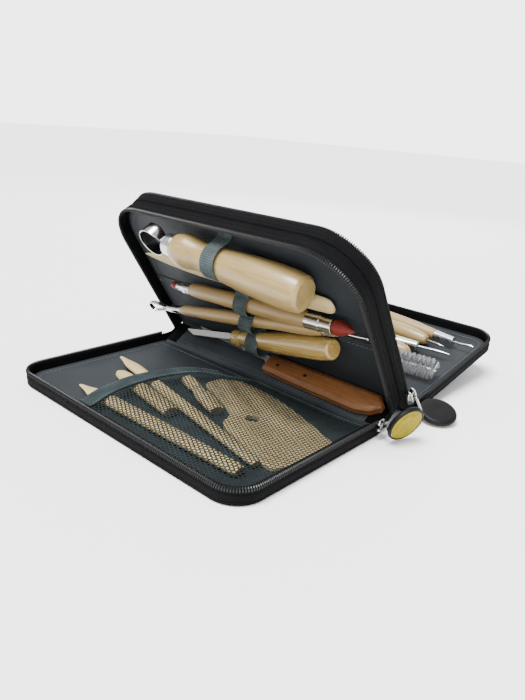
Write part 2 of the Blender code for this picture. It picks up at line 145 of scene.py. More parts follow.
def add(tree, kind, settings=None, **inputs):
    """One shader node; an input is a socket to link or a value to set."""
    node = tree.nodes.new("ShaderNode" + kind)
    for key, value in (settings or {}).items():
        setattr(node, key, value)
    for key, value in inputs.items():
        socket = node.inputs[int(key[2:]) if key.startswith("at") else key.replace("_", " ")]
        if isinstance(value, bpy.types.NodeSocket):
            tree.links.new(value, socket)
        else:
            socket.default_value = value
    return node


def math_node(tree, operation, a, b=0.0):
    return add(tree, "Math", {"operation": operation}, at0=a, at1=b).outputs[0]


def own_vector(tree):
    """The piece's own coordinates in millimetres."""
    return add(tree, "Attribute", {"attribute_name": "local"}).outputs["Vector"]


def local_place(tree, scale=(1, 1, 1)):
    """The piece's own coordinates, stretched by scale."""
    return add(tree, "Mapping", Vector=own_vector(tree), Scale=scale).outputs[0]


def noise(tree, place, scale, detail=3.0, roughness=0.55):
    node = add(tree, "TexNoise", Vector=place, Scale=scale, Detail=detail, Roughness=roughness)
    return node.outputs["Fac"]


def ramp(tree, factor, stops):
    node = add(tree, "ValToRGB", Fac=factor)
    marks = node.color_ramp.elements
    while len(marks) < len(stops):
        marks.new(0.5)
    for mark, (at, color) in zip(marks, stops):
        mark.position = at
        mark.color = (*color, 1)
    return node.outputs["Color"]


def spread(tree, factor, low, high):
    node = add(tree, "MapRange", Value=factor, To_Min=low, To_Max=high)
    return node.outputs[0]


def start(name, roughness, metallic=0.0, **sockets):
    material = bpy.data.materials.new(name)
    material.use_nodes = True
    shader = material.node_tree.nodes["Principled BSDF"]
    shader.inputs["Roughness"].default_value = roughness
    shader.inputs["Metallic"].default_value = metallic
    for key, value in sockets.items():
        shader.inputs[key.replace("_", " ")].default_value = value
    return material, material.node_tree, shader


def bump(tree, shader, height, distance, strength=1.0):
    node = add(tree, "Bump", Height=height, Distance=distance * MM, Strength=strength)
    tree.links.new(node.outputs[0], shader.inputs["Normal"])


def blend_colors(color, low, high):
    """Stops of a ramp from a darker to a lighter shade."""
    return [(0.25, [c * low for c in color]), (0.75, [min(1.0, c * high) for c in color])]


def weave(tree, pitch):
    """Diagonal over-and-under weave that also reads on upright walls."""
    axes = add(tree, "SeparateXYZ", Vector=own_vector(tree)).outputs
    turn = 2 * math.pi / pitch
    one = math_node(tree, "MULTIPLY", math_node(tree, "ADD", axes[0], axes[1]), turn)
    two = math_node(tree, "SUBTRACT", axes[0], axes[1])
    two = math_node(tree, "MULTIPLY", math_node(tree, "ADD", two, axes[2]), turn)
    return math_node(tree, "MULTIPLY", math_node(tree, "SINE", one), math_node(tree, "SINE", two))


def cloth(name, color, roughness, pitch, depth, sheen=0.0):
    """Woven cloth: thread relief, painted shade in the weave's hollows and painted highlight on its crests,
    slightly uneven colour and dusty wear.
    """
    material, tree, shader = start(name, roughness, Specular_IOR_Level=0.06, Sheen_Weight=sheen)
    threads = weave(tree, pitch)
    cloud = noise(tree, local_place(tree), 0.06, 4)
    # the colour follows the weave's relief: painted shade where the threads dip and painted highlight where
    # they rise; the cloud adds random tone
    mixed = math_node(tree, "MULTIPLY_ADD", threads, 0.18)
    tree.links.new(cloud, mixed.node.inputs[2])
    tree.links.new(ramp(tree, mixed, blend_colors(color, 0.6, 1.5)), shader.inputs["Base Color"])
    tree.links.new(spread(tree, cloud, roughness - 0.12, roughness + 0.12), shader.inputs["Roughness"])
    bump(tree, shader, threads, depth)
    return material


def ribbed(name, color, roughness, pitch, cross, depth, rib_shade_contrast=0.13):
    """Narrow-loom tape: ribs along its length crossed by finer picks, with painted shade in the grooves and
    painted highlight on the ribs.
    """
    material, tree, shader = start(name, roughness, Specular_IOR_Level=0.08)
    axes = add(tree, "SeparateXYZ", Vector=own_vector(tree)).outputs
    along = math_node(tree, "SINE", math_node(tree, "MULTIPLY", axes[0], 2 * math.pi / pitch))
    across = math_node(tree, "SINE", math_node(tree, "MULTIPLY", axes[1], 2 * math.pi / cross))
    relief = math_node(tree, "ADD", math_node(tree, "MULTIPLY", along, 0.6),
                       math_node(tree, "MULTIPLY", across, along))
    cloud = noise(tree, local_place(tree), 0.12, 3)
    # the colour follows the ribs' relief: painted shade in the grooves and painted highlight on the crests,
    # plus random tone from the cloud
    shade = math_node(tree, "MULTIPLY_ADD", relief, rib_shade_contrast)
    tree.links.new(cloud, shade.node.inputs[2])
    tree.links.new(ramp(tree, shade, blend_colors(color, 0.62, 1.45)), shader.inputs["Base Color"])
    bump(tree, shader, relief, depth)
    return material


def leather(name, color, roughness):
    """Coated lining: fine pebble grain, faint creases and uneven polish."""
    material, tree, shader = start(name, roughness, Specular_IOR_Level=0.16)
    place = local_place(tree)
    pebbles = add(tree, "TexVoronoi", {"feature": "F1"}, Vector=place, Scale=1.5).outputs["Distance"]
    fine = noise(tree, place, 2.2, 4, 0.6)
    cloud = noise(tree, place, 0.035, 4)
    height = math_node(tree, "ADD", math_node(tree, "MULTIPLY", pebbles, 0.7), fine)
    tone = math_node(tree, "ADD", math_node(tree, "MULTIPLY", fine, 0.35),
                     math_node(tree, "MULTIPLY", cloud, 0.65))
    tree.links.new(ramp(tree, tone, blend_colors(color, 0.72, 1.3)), shader.inputs["Base Color"])
    tree.links.new(spread(tree, cloud, roughness - 0.1, roughness + 0.14), shader.inputs["Roughness"])
    bump(tree, shader, height, 0.06, 0.8)
    return material


def wood(name, light, dark, roughness, coat, stretch=0.035, pore=0.12):
    """Long grain along the tool, growth figure, dark pores and a thin uneven varnish."""
    material, tree, shader = start(name, roughness, Coat_Weight=coat, Coat_Roughness=0.25)
    grain = noise(tree, local_place(tree, (1.1, 1.1, stretch)), 0.9, 6, 0.62)
    figure = noise(tree, local_place(tree, (0.12, 0.12, 0.012)), 1.0, 3)
    pores = noise(tree, local_place(tree, (3.4, 3.4, 0.16)), 1.0, 3, 0.7)
    dots = add(tree, "MapRange", Value=pores, From_Min=0.60, From_Max=0.68).outputs[0]
    tone = math_node(tree, "ADD", math_node(tree, "MULTIPLY", grain, 0.6),
                     math_node(tree, "MULTIPLY", figure, 0.45))
    middle = [(a + b) / 2 for a, b in zip(light, dark)]
    color = ramp(tree, tone, [(0.34, dark), (0.52, middle), (0.66, light)])
    speckled = add(tree, "Mix", {"data_type": "RGBA"}, Factor=math_node(tree, "MULTIPLY", dots, pore),
                   A=color, B=(dark[0] * 0.35, dark[1] * 0.3, dark[2] * 0.25, 1))
    tree.links.new(speckled.outputs["Result"], shader.inputs["Base Color"])
    tree.links.new(spread(tree, grain, roughness - 0.08, roughness + 0.12), shader.inputs["Roughness"])
    bump(tree, shader, math_node(tree, "SUBTRACT", grain, dots), 0.05, 0.5)
    return material


def metal(name, color, roughness, scale=(0.5, 0.5, 6.0), depth=0.01):
    """Plated or brushed metal with fine turning lines, smudges and small scratches."""
    material, tree, shader = start(name, roughness, 1.0)
    lines = noise(tree, local_place(tree, scale), 1.6, 4, 0.7)
    smudge = noise(tree, local_place(tree), 0.25, 4)
    tree.links.new(ramp(tree, smudge, blend_colors(color, 0.8, 1.12)), shader.inputs["Base Color"])
    mixed = math_node(tree, "MULTIPLY", lines, smudge)
    tree.links.new(spread(tree, mixed, roughness * 0.4, roughness * 2.2), shader.inputs["Roughness"])
    bump(tree, shader, lines, depth, 0.6)
    return material


def rubber(name, color, roughness, scale, depth, gloss=0.25):
    """Moulded rubber, plastic or enamel with a faint mottled skin."""
    material, tree, shader = start(name, roughness, Specular_IOR_Level=gloss)
    skin = noise(tree, local_place(tree), scale, 4, 0.6)
    cloud = noise(tree, local_place(tree), 0.3, 3)
    tree.links.new(ramp(tree, cloud, blend_colors(color, 0.78, 1.2)), shader.inputs["Base Color"])
    tree.links.new(spread(tree, skin, roughness * 0.75, min(1, roughness * 1.25)),
                   shader.inputs["Roughness"])
    bump(tree, shader, skin, depth, 0.5)
    return material


def bristle_material(name):
    """Clear nylon, lighter and darker from bristle to bristle."""
    material, tree, shader = start(name, 0.35, Subsurface_Weight=0.0)
    tone = noise(tree, local_place(tree), 0.8, 2)
    tree.links.new(ramp(tree, tone, [(0.3, (0.16, 0.165, 0.17)), (0.7, (0.35, 0.36, 0.37))]),
                   shader.inputs["Base Color"])
    return material


PALE = ((0.300, 0.212, 0.080), (0.185, 0.120, 0.038))
TAN = ((0.290, 0.195, 0.073), (0.180, 0.112, 0.036))
MATERIALS = {
    "nylon": (cloth("nylon", (0.0030, 0.0031, 0.0036), 0.80, 0.9, 0.09), "case_nylon"),
    "tape": (ribbed("tape", (0.0030, 0.0032, 0.0036), 0.75, 0.85, 0.7, 0.08), "zip_black"),
    "teeth": (rubber("teeth", (0.0060, 0.0061, 0.0066), 0.34, 3.0, 0.02, 0.3), "zip_black"),
    "lining": (leather("lining", (0.0165, 0.0195, 0.0225), 0.58), "lining"),
    "strip": (leather("strip", (0.0360, 0.0425, 0.0465), 0.56), "lining"),
    "thread": (cloth("thread", (0.085, 0.096, 0.103), 0.7, 0.3, 0.03), "lining"),
    "black_thread": (cloth("black_thread", (0.006, 0.006, 0.007), 0.7, 0.3, 0.03), "case_nylon"),
    "net": (cloth("net", (0.0170, 0.0245, 0.0250), 0.62, 0.35, 0.05), "net"),
    "binding": (cloth("binding", (0.0215, 0.0300, 0.0315), 0.75, 0.55, 0.05), "elastic"),
    # its last number sets strong painted shade in the rib grooves and painted highlight on the ribs
    "elastic": (ribbed("elastic", (0.0520, 0.0670, 0.0680), 0.82, 1.5, 1.7, 0.3, 0.3), "elastic"),
    "pale_wood": (wood("pale_wood", *PALE, 0.36, 0.4), "boxwood"),
    "tan_wood": (wood("tan_wood", *TAN, 0.42, 0.25), "boxwood"),
    "raw_wood": (wood("raw_wood", (0.440, 0.345, 0.170), (0.300, 0.215, 0.090), 0.6, 0.0), "boxwood"),
    "end_grain": (wood("end_grain", (0.13, 0.080, 0.042), (0.07, 0.040, 0.020), 0.75, 0.0, 1.0),
                  "boxwood"),
    "lacquer": (wood("lacquer", (0.350, 0.240, 0.070), (0.245, 0.152, 0.036), 0.24, 0.8),
                "lacquered_wood"),
    "hardwood": (wood("hardwood", (0.225, 0.092, 0.026), (0.095, 0.034, 0.010), 0.46, 0.1, 0.05, 0.7),
                 "hardwood"),
    "steel": (metal("steel", (0.52, 0.515, 0.50), 0.20), "steel"),
    "blade": (metal("blade", (0.55, 0.55, 0.54), 0.75, (0.3, 0.3, 0.3), 0.0), "steel"),
    "aluminium": (metal("aluminium", (0.60, 0.60, 0.61), 0.3, (0.5, 0.5, 9.0), 0.03), "aluminium"),
    "brass": (metal("brass", (0.06, 0.045, 0.03), 0.4), "steel"),
    "red": (rubber("red", (0.105, 0.0095, 0.006), 0.5, 0.9, 0.05, 0.2), "rubber_red"),
    "bristle": (bristle_material("bristle"), "bristle"),
    "yellow": (rubber("yellow", (0.235, 0.178, 0.0005), 0.45, 0.5, 0.02, 0.1), "disc_yellow"),
    "rim": (rubber("rim", (0.004, 0.004, 0.0045), 0.5, 1.5, 0.03, 0.12), "zip_black"),
}


# ---- making pieces ------------------------------------------------------------------------------

def piece(name, body, finish, mesh_parts, place, local=None, stands_for=(), sharp=35.0, close=True):
    """One visible mesh on a body, from points in a frame's millimetres and faces."""
    points, faces = mesh_parts
    points = np.asarray(points, float)
    mesh = bpy.data.meshes.new(name)
    mesh.from_pydata((to_world(place, points) * MM).tolist(), [], faces)
    own = mesh.attributes.new("local", "FLOAT_VECTOR", "POINT")
    own.data.foreach_set("vector", (points if local is None else local).astype(np.float32).ravel())
    if close:
        shape = bmesh.new()
        shape.from_mesh(mesh)
        bmesh.ops.recalc_face_normals(shape, faces=shape.faces)
        shape.to_mesh(mesh)
        shape.free()
    mesh.shade_smooth()
    mesh.set_sharp_from_angle(angle=math.radians(sharp))
    material, slot = MATERIALS[finish]
    mesh.materials.append(material)
    made = bpy.data.objects.new(name, mesh)
    bpy.context.scene.collection.objects.link(made)
    if isinstance(body, str):
        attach(made, body)
    else:
        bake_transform(made)
    if stands_for:
        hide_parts(*stands_for)
    return made


def loft(rings, closed=True, caps=True, loop=False):
    """Skin over rings of equal count; a loop joins the last ring to the first."""
    count = len(rings[0])
    total = len(rings)
    faces = []
    for a in range(total if loop else total - 1):
        b = (a + 1) % total
        for c in range(count if closed else count - 1):
            d = (c + 1) % count
            faces.append((a * count + c, a * count + d, b * count + d, b * count + c))
    if caps and not loop:
        faces.append(tuple(range(count))[::-1])
        faces.append(tuple(range((total - 1) * count, total * count)))
    return np.concatenate([np.asarray(ring, float) for ring in rings]), faces


def scatter(template, origins, x_axes, y_axes, z_axes):
    """Copies of a small mesh, each set in its own axes."""
    points, faces = template
    points = np.asarray(points, float)
    made = (origins[:, None, :] + points[None, :, 0:1] * x_axes[:, None, :]
            + points[None, :, 1:2] * y_axes[:, None, :] + points[None, :, 2:3] * z_axes[:, None, :])
    count = len(points)
    everywhere = [tuple(at * count + corner for corner in face)
                  for at in range(len(origins)) for face in faces]
    return made.reshape(-1, 3), everywhere


def tube(points, radius, sides=10, loop=False):
    """A round wire through points; radius is one number or one for each point."""
    points = np.asarray(points, float)
    count = len(points)
    radius = np.full(count, radius) if np.isscalar(radius) else np.asarray(radius, float)
    ahead = np.roll(points, -1, 0) - np.roll(points, 1, 0)
    if not loop:
        ahead[0], ahead[-1] = points[1] - points[0], points[-1] - points[-2]
    ahead = unit_rows(ahead)
    seed = np.eye(3)[np.argmin(np.abs(ahead[0]))]
    side = unit(np.cross(ahead[0], seed))
    angles = np.linspace(0, 2 * math.pi, sides, endpoint=False)
    rings = []
    for at in range(count):
        side = unit(side - ahead[at] * (side @ ahead[at]))
        other = np.cross(ahead[at], side)
        turned_ring = np.cos(angles)[:, None] * side + np.sin(angles)[:, None] * other
        rings.append(points[at] + radius[at] * turned_ring)
    return loft(rings, loop=loop)


BAND_FACE = [(-1, -0.4), (-0.95, -1), (-0.5, -1), (0, -1), (0.5, -1), (0.95, -1), (1, -0.4)]
BAND_SECTION = BAND_FACE + [(-x, -y) for x, y in BAND_FACE]


def band(centre, across, normal, half_width, half_thick, loop=False):
    """A flat band with rounded edges, and its unrolled coordinates for the weave."""
    centre = np.asarray(centre, float)
    section = np.array(BAND_SECTION)
    across = np.broadcast_to(across, centre.shape)
    normal = np.broadcast_to(normal, centre.shape)
    half_width = np.broadcast_to(half_width, len(centre))
    rings = [c + section[:, :1] * w * a + section[:, 1:] * half_thick * n
             for c, a, n, w in zip(centre, across, normal, half_width)]
    flat = [np.column_stack([np.full(len(section), s), section[:, 0] * w, section[:, 1]])
            for s, w in zip(walked(centre), half_width)]
    points, faces = loft(rings, loop=loop)
    return (points, faces), np.concatenate(flat)


def thick_sheet(grid, thickness):
    """A closed cloth sheet of the given thickness around a grid of points (rows, columns, 3)."""
    grid = np.asarray(grid, float)
    rows, columns, _ = grid.shape
    normal = np.cross(np.gradient(grid, axis=0), np.gradient(grid, axis=1))
    normal /= np.linalg.norm(normal, axis=2)[:, :, None] + 1e-12
    top = grid + normal * thickness / 2
    low = grid - normal * thickness / 2
    rings = [np.concatenate([top[r], low[r][::-1]]) for r in range(rows)]
    return loft(rings)


def through(points, step):
    """A smooth curve through points, sampled about every step."""
    points = np.asarray(points, float)
    reach = walked(points)
    samples = np.linspace(0, reach[-1], max(2, int(math.ceil(reach[-1] / step)) + 1))
    if len(points) == 2:
        return points[0] + (points[1] - points[0]) * (samples / reach[-1])[:, None]
    slope = np.gradient(points, reach, axis=0)
    at = np.clip(np.searchsorted(reach, samples, side="right") - 1, 0, len(points) - 2)
    span = (reach[at + 1] - reach[at])[:, None]
    t = (samples - reach[at])[:, None] / span
    return ((2 * t ** 3 - 3 * t ** 2 + 1) * points[at] + (t ** 3 - 2 * t ** 2 + t) * span * slope[at]
            + (3 * t ** 2 - 2 * t ** 3) * points[at + 1] + (t ** 3 - t ** 2) * span * slope[at + 1])


def smooth_closed(points, steps=12):
    """A closed Catmull-Rom outline, as the CAD source draws the rib."""
    count = len(points)
    made = []
    for at in range(count):
        a, b, c, d = (np.array(points[(at + k) % count], float) for k in (-1, 0, 1, 2))
        for step in range(steps):
            t = step / steps
            bend = (2 * a - 5 * b + 4 * c - d) * t * t + (3 * b - a - 3 * c + d) * t ** 3
            made.append((2 * b + (c - a) * t + bend) / 2)
    return np.array(made)


def along_path(path, pitch, closed=False):
    """Evenly spaced places on a path and their directions."""
    path = np.asarray(path, float)
    if closed:
        path = np.vstack([path, path[:1]])
    reach = walked(path)
    count = max(1, int(round(reach[-1] / pitch)))
    samples = (np.arange(count) + 0.5) * reach[-1] / count
    step = pitch * 0.3
    places, after, before = (np.column_stack([np.interp(at, reach, path[:, k]) for k in range(3)])
                             for at in (samples, samples + step, samples - step))
    ahead = after - before
    return places, ahead / (np.linalg.norm(ahead, axis=1)[:, None] + 1e-12)


def stitch_template(length, radius):
    """One stitch: a short thread that dips into the cloth at both ends."""
    stops = [(-0.5, 0.25), (-0.42, 0.8), (-0.2, 1.0), (0.2, 1.0), (0.42, 0.8), (0.5, 0.25)]
    angles = np.linspace(0, 2 * math.pi, 6, endpoint=False)
    rings = [np.column_stack([np.full(6, at * length), np.cos(angles) * radius * size,
                              np.sin(angles) * radius * size + radius * (0.5 - abs(at))])
             for at, size in stops]
    return loft(rings)


def stitches(name, body, place, paths, normal=(0, 0, 1), finish="thread", pitch=STITCH_PITCH, size=1.0,
             closed=False):
    """Sewing thread lying along one or more paths, a piece of its own."""
    found = [along_path(path, pitch, closed) for path in paths]
    origins, directions = (np.concatenate(part) for part in zip(*found))
    up = np.broadcast_to(unit(normal), origins.shape)
    side = np.cross(up, directions)
    tilted = directions + side * STITCH_SLANT
    template = stitch_template(pitch * STITCH_SHARE, STITCH_RADIUS * size)
    piece(name, body, finish, scatter(template, origins, tilted, side, up), place)


# ---- case: shells, teeth, linings and spine --------------------------------------------------------

def rim_points(corner, inset, begin=HINGE_CLEAR):
    """Round three sides of a leaf at an inset from its outline; every inset has as many points."""
    outer, half, radius = WIDTH - inset, HALF - inset, max(corner - inset, 1.0)
    corner_at = [(outer - radius, -half + radius, -90), (outer - radius, half - radius, 0)]
    made = [np.linspace((begin, -half), (outer - radius, -half), 30, endpoint=False)]
    for at, (x, y, turn) in enumerate(corner_at):
        angles = np.radians(turn + np.linspace(0, 90, 20))
        made.append(np.column_stack([x + radius * np.cos(angles), y + radius * np.sin(angles)]))
        if at == 0:
            made.append(np.linspace((outer, -half + radius), (outer, half - radius), 50)[1:-1])
    made.append(np.linspace((begin, half), (outer - radius, half), 30, endpoint=False)[::-1])
    return np.concatenate(made)


def rim_sweep(corner, section, side=1):
    """A closed (inset, height) section swept along the rim."""
    columns = [with_height(rim_points(corner, inset), side * height) for inset, height in section]
    stacked = np.stack(columns, axis=1)
    points, faces = loft(list(stacked))
    along = np.repeat(walked(stacked[:, 0]), len(section))
    across = np.tile(walked(np.array(section)), len(stacked))
    return (points, faces), np.column_stack([along, across, np.zeros(len(points))])


def with_height(path, height):
    """A flat path lifted to one height."""
    return np.column_stack([path, np.full(len(path), height)])


COVER_WALL = [(2.6, 0.0), (1.3, 0.02), (0.55, 0.3), (0.12, 0.9), (0.0, 1.8), (0.22, 2.25), (0.3, 2.5),
              (0.05, 2.9), (-0.12, 4.0), (-0.15, 5.4), (0.0, 6.7), (0.28, 7.15), (0.5, 7.9), (1.1, 8.3),
              (2.3, 8.3), (2.4, 6.0), (2.5, 2.3)]
LEAF_WALL = [(2.4, 1.3), (1.2, 1.3), (0.5, 1.6), (0.1, 2.2), (0.0, 2.9), (0.25, 3.3), (0.3, 3.5),
             (0.02, 3.9), (-0.12, 5.0), (0.0, 6.7), (0.28, 7.15), (0.5, 7.9), (1.1, 8.3), (2.3, 8.3),
             (2.4, 5.0)]
TAPE = [(0.45, 7.0), (0.05, 7.25), (-0.02, 8.1), (0.1, 9.0), (0.3, 9.6), (0.65, 9.9), (1.0, 9.9), (1.35, 9.5),
        (1.4, 8.9), (1.4, 8.5), (2.3, 8.5), (2.3, 7.8), (1.0, 7.4)]
TOOTH = [(-0.15, 8.5), (-0.12, 9.4), (0.25, 10.15), (0.8, 10.45), (1.4, 10.15), (1.75, 9.4), (1.8, 8.6)]
TOOTH_SIZE = [0.3, 0.46, 0.54, 0.56, 0.54, 0.46, 0.3]


def make_teeth(name, body, place, corner, side):
    """The coil: a small bent rib over the tape's edge at every pitch."""
    base, lean = 1.5, 0.12
    template = tube([(inset - base, 0, height) for inset, height in TOOTH], TOOTH_SIZE, 6)
    places, ahead = along_path(with_height(rim_points(corner, base), 0), ZIP_PITCH)
    inward = np.cross(np.broadcast_to((0, 0, 1.0), ahead.shape), ahead)
    up = np.broadcast_to((0, 0, float(side)), places.shape)
    piece(name, body, "teeth", scatter(template, places, inward + ahead * lean, ahead, up), place)


def make_shell(name, body, place, corner, section, side=1, stands_for=()):
    """Wall, zip tape, coil teeth and the seam stitches of one half shell."""
    mesh_parts, flat = rim_sweep(corner, section, side)
    piece(name + "_skin", body, "nylon", mesh_parts, place, flat, stands_for[:1])
    mesh_parts, flat = rim_sweep(corner, TAPE, side)
    piece(name + "_tape", body, "tape", mesh_parts, place, flat[:, [1, 0, 2]], stands_for[1:])
    make_teeth(name + "_teeth", body, place, corner, side)
    seam_height = 7.6
    places, ahead = along_path(with_height(rim_points(corner, -0.05), side * seam_height), STITCH_PITCH)
    up = np.broadcast_to((0, 0, float(side)), places.shape)
    outward = np.cross(ahead, up)
    mesh_parts = scatter(stitch_template(2.2, 0.16), places, ahead, up, outward)
    piece(name + "_seam", body, "black_thread", mesh_parts, place)


def plan_ring(corner, inset, begin):
    """A closed outline of a leaf at an inset, with points down its hinge side too."""
    rim = rim_points(corner, inset, begin)
    back = np.linspace(rim[-1], rim[0], 40)[1:-1]
    return np.concatenate([rim, back])


def ripple(points, size=0.12):
    """Slow unevenness of glued cloth, in place of a perfectly flat face."""
    x, y = points[:, 0], points[:, 1]
    slow = np.sin(x / 13 + y / 31) * np.sin(y / 17 - x / 41)
    return size * (slow + 0.5 * np.sin(x / 7.1) * np.sin(y / 9.3))


def make_lining(name, body, place, corner, low, side=1, stands_for=()):
    """Coated lining over the board, sewn round its edge."""
    edge, groove, calm = 2.9, 5.2, 8
    steps = [(0, 0), (0, 0.45), (0.3, 0.68), (1.0, 0.74), (4.2, 0.76), (4.8, 0.55), (groove, 0.5),
             (5.6, 0.55), (6.3, 0.76), (9, 0.74)] + [(inset, 0.7) for inset in (14, 20, 27, 35, 43, 51, 58)]
    rings = []
    for inset, height in steps:
        ring = plan_ring(corner, edge + inset, HINGE_CLEAR + inset)
        soft = ripple(ring) if inset > calm else np.zeros(len(ring))
        rings.append(np.column_stack([ring, side * (low + height + soft)]))
    made = piece(name, body, "lining", loft(rings), place, stands_for=stands_for)
    seam = with_height(plan_ring(corner, edge + groove, HINGE_CLEAR + groove), side * (low + 0.55))
    stitches(name + "_stitches", body, place, [seam], (0, 0, side), closed=True)


def repaint(node, finish):
    """A carried-over CAD plate gets the finish in its own coordinates."""
    obj = frame["nodes"][node]
    copy = MATERIALS[finish][0].copy()
    copy.name = node + "_" + finish
    for found in [n for n in copy.node_tree.nodes if n.bl_idname == "ShaderNodeAttribute"]:
        place = copy.node_tree.nodes.new("ShaderNodeTexCoord")
        scaled = add(copy.node_tree, "VectorMath", {"operation": "SCALE"}, at0=place.outputs["Object"])
        scaled.inputs["Scale"].default_value = 1 / MM
        for link in list(found.outputs["Vector"].links):
            copy.node_tree.links.new(scaled.outputs[0], link.to_socket)
    obj.data.materials.clear()
    obj.data.materials.append(copy)


def make_case():
    """Both covers, and the leaf with a shell on either face."""
    shells = [("front_cover", "front_cover", FRONT, COVER_CORNER, COVER_WALL, 2.5, 1),
              ("back_cover", "back_cover", BACK, COVER_CORNER, COVER_WALL, 2.5, 1),
              ("leaf_front", "leaf", LEAF, LEAF_CORNER, LEAF_WALL, 1.5, 1),
              ("leaf_back", "leaf", LEAF, LEAF_CORNER, LEAF_WALL, 1.5, -1)]
    for name, body, place, corner, wall, low, side in shells:
        make_shell(name, body, place, corner, wall, side, (name + "_wall", name + "_zip"))
        make_lining(name + "_inside", body, place, corner, low, side, (name + "_lining",))
    for body in ("front_cover", "back_cover", "leaf"):
        repaint(body + "_board", "nylon")


def bar(section, half=END, count=40):
    """A section of (x, z) points run along Y between the case's ends."""
    section = np.asarray(section, float)
    rings = [np.column_stack([section[:, 0], np.full(len(section), y), section[:, 1]])
             for y in np.linspace(-half, half, count)]
    return loft(rings)


def make_spine():
    """Padded strips with their seams, and the plain cloth outside them."""
    low, high = HINGE_CLEAR, STRIP - HINGE_CLEAR
    rising = [(0, 0.2), (0, 1.5), (0.7, 2.0), (2.6, 2.1), (3.1, 1.85), (3.6, 2.1), (7, 2.25)]
    cushion = [(low + a, rise) for a, rise in rising] + [(high - a, rise) for a, rise in rising[::-1]]
    front = [(rise, along) for along, rise in cushion]
    pads = [piece("front_strip_pad", "leaf", "strip", bar(front), LEAF, stands_for=("front_spine_strip",)),
            piece("back_strip_pad", "back_strip", "strip", bar(cushion), SPINE,
                  stands_for=("back_spine_strip",))]
    top = 2.2
    for shift in (2.2, 4.0):
        rows = [np.array([(top, -END, z), (top, END, z)]) for z in (low + shift, high - shift)]
        stitches(f"front_strip_seam_{shift:.0f}", "leaf", LEAF, rows, (1, 0, 0))
        rows = [row[:, [2, 1, 0]] for row in rows]
        stitches(f"back_strip_seam_{shift:.0f}", "back_strip", SPINE, rows)
    lap, thick = 1.5, 0.6
    outside = [(low - lap, -thick), (high + lap, -thick), (high + lap, 0.0), (low - lap, 0.0)]
    piece("front_strip_outside", "leaf", "nylon", bar([(z, x) for x, z in outside]), LEAF)
    piece("back_strip_outside", "back_strip", "nylon", bar(outside), SPINE)
    root_cord = tube([(1.9, y, 1.7) for y in np.linspace(-END, END, 40)], 1.15, 12)
    piece("leaf_root_cord", "leaf", "strip", root_cord, LEAF)


def fold_cloth(name, bodies, top, under, finish="strip"):
    """A soft fold of cloth: points across the joint on top and back underneath."""
    section = np.concatenate([through(top, 0.5), through(under, 0.5)[::-1]])[:, [0, 2]]
    start_at, end_at = top[0] * MM, top[-1] * MM
    made = piece(name, (*bodies, start_at, end_at), finish, bar(section), WORLD)


def make_folds():
    """The cloth hinges between the covers, the strips and the leaf."""
    cover_edge = [(3.4, 0, 2.95), (3.4, 0, 0.1)]
    a = to_world(FRONT, cover_edge)
    b = to_world(LEAF, [(1.7, 0, 22.6), (0.1, 0, 22.6)])
    valley = np.array([WIDTH / 2 - 0.8, 0, 2.1])
    sole = np.array([WIDTH / 2, 0, 0.25])
    fold_cloth("front_fold_cloth", ("front_cover", "leaf"), [a[0], valley, b[0]], [a[1], sole, b[1]])
    c = to_world(SPINE, [(22.5, 0, 1.8), (22.5, 0, 0.1)])
    d = to_world(BACK, cover_edge)
    heel = BACK[:3, 3]
    fold_cloth("back_fold_cloth", ("back_strip", "back_cover"), [c[0], heel + (0.7, 0, 2.3), d[0]],
               [c[1], heel + (0, 0, 0.25), d[1]])
    e = to_world(LEAF, [(3.4, 0, -2.2), (3.2, 0, -1.0)])
    f = to_world(SPINE, [(3.4, 0, 1.9), (3.2, 0, 0.1)])
    crest = ROOT + 2.1 * unit(LEAF[:3, 2] * -1 + SPINE[:3, 2])
    fold_cloth("spine_fold_cloth", ("leaf", "back_strip"), [e[0], crest, f[0]],
               [e[1], ROOT + 0.3 * unit(crest - ROOT), f[1]])
    g = to_world(LEAF, [(0.0, 0, 3.2), (-0.6, 0, 3.2)])
    h = to_world(SPINE, [(3.2, 0, 0.0), (3.2, 0, -0.6)])
    fold_cloth("spine_outside_cloth", ("leaf", "back_strip"), [g[0], ROOT + (0, 0, -0.5), h[0]],
               [g[1], ROOT + (0, 0, -1.2), h[1]], "nylon")


def web(name, body, columns, sign):
    """An upright end fold of black cloth: each column is its foot and its top, as (x, z) in the world."""
    columns = np.asarray(columns, float)
    share = np.linspace(0, 1, 6)
    hollow = 0.7
    grid = np.zeros((len(columns), len(share), 3))
    for j, t in enumerate(share):
        grid[:, j, ::2] = columns[:, 0] * (1 - t) + columns[:, 1] * t
        grid[:, j, 1] = sign * (WEB_SIDE - hollow * math.sin(math.pi * t))
    made = piece(name, body, "nylon", thick_sheet(grid, 0.9), WORLD)


def link_web(name, bodies, columns, sign):
    """A web that crosses a fold, made in place in the world and parented to neither side."""
    first, last = ((x * MM, sign * WEB_SIDE * MM, z * MM) for x, z in (columns[0][0], columns[-1][0]))
    web(name, (*bodies, first, last), columns, sign)


def column(place, along, top=WEB_TOP, upright=False):
    """A web's column at a distance from a fold, as world (x, z) of its foot and its top."""
    low = math.copysign(0.3, top)
    spots = [(low, 0, along), (top, 0, along)] if upright else [(along, 0, low), (along, 0, top)]
    return to_world(place, spots)[:, [0, 2]]


def end_patch(side, place, body, end, sign):
    """The flat black patch that covers a strip's end."""
    along, out = np.linspace(STRIP_END, STRIP - STRIP_END, 10), np.linspace(94.0, 104.6, 8)
    a, o = np.meshgrid(along, out, indexing="ij")
    height = 2.5 + 0.12 * np.sin(a / 3) * np.sin(o / 2)
    spots = (height, sign * o, a) if side == "front" else (a, sign * o, height)
    patch = piece(f"{side}_end_patch_{end}", body, "nylon", thick_sheet(np.stack(spots, axis=2), 0.5), place)


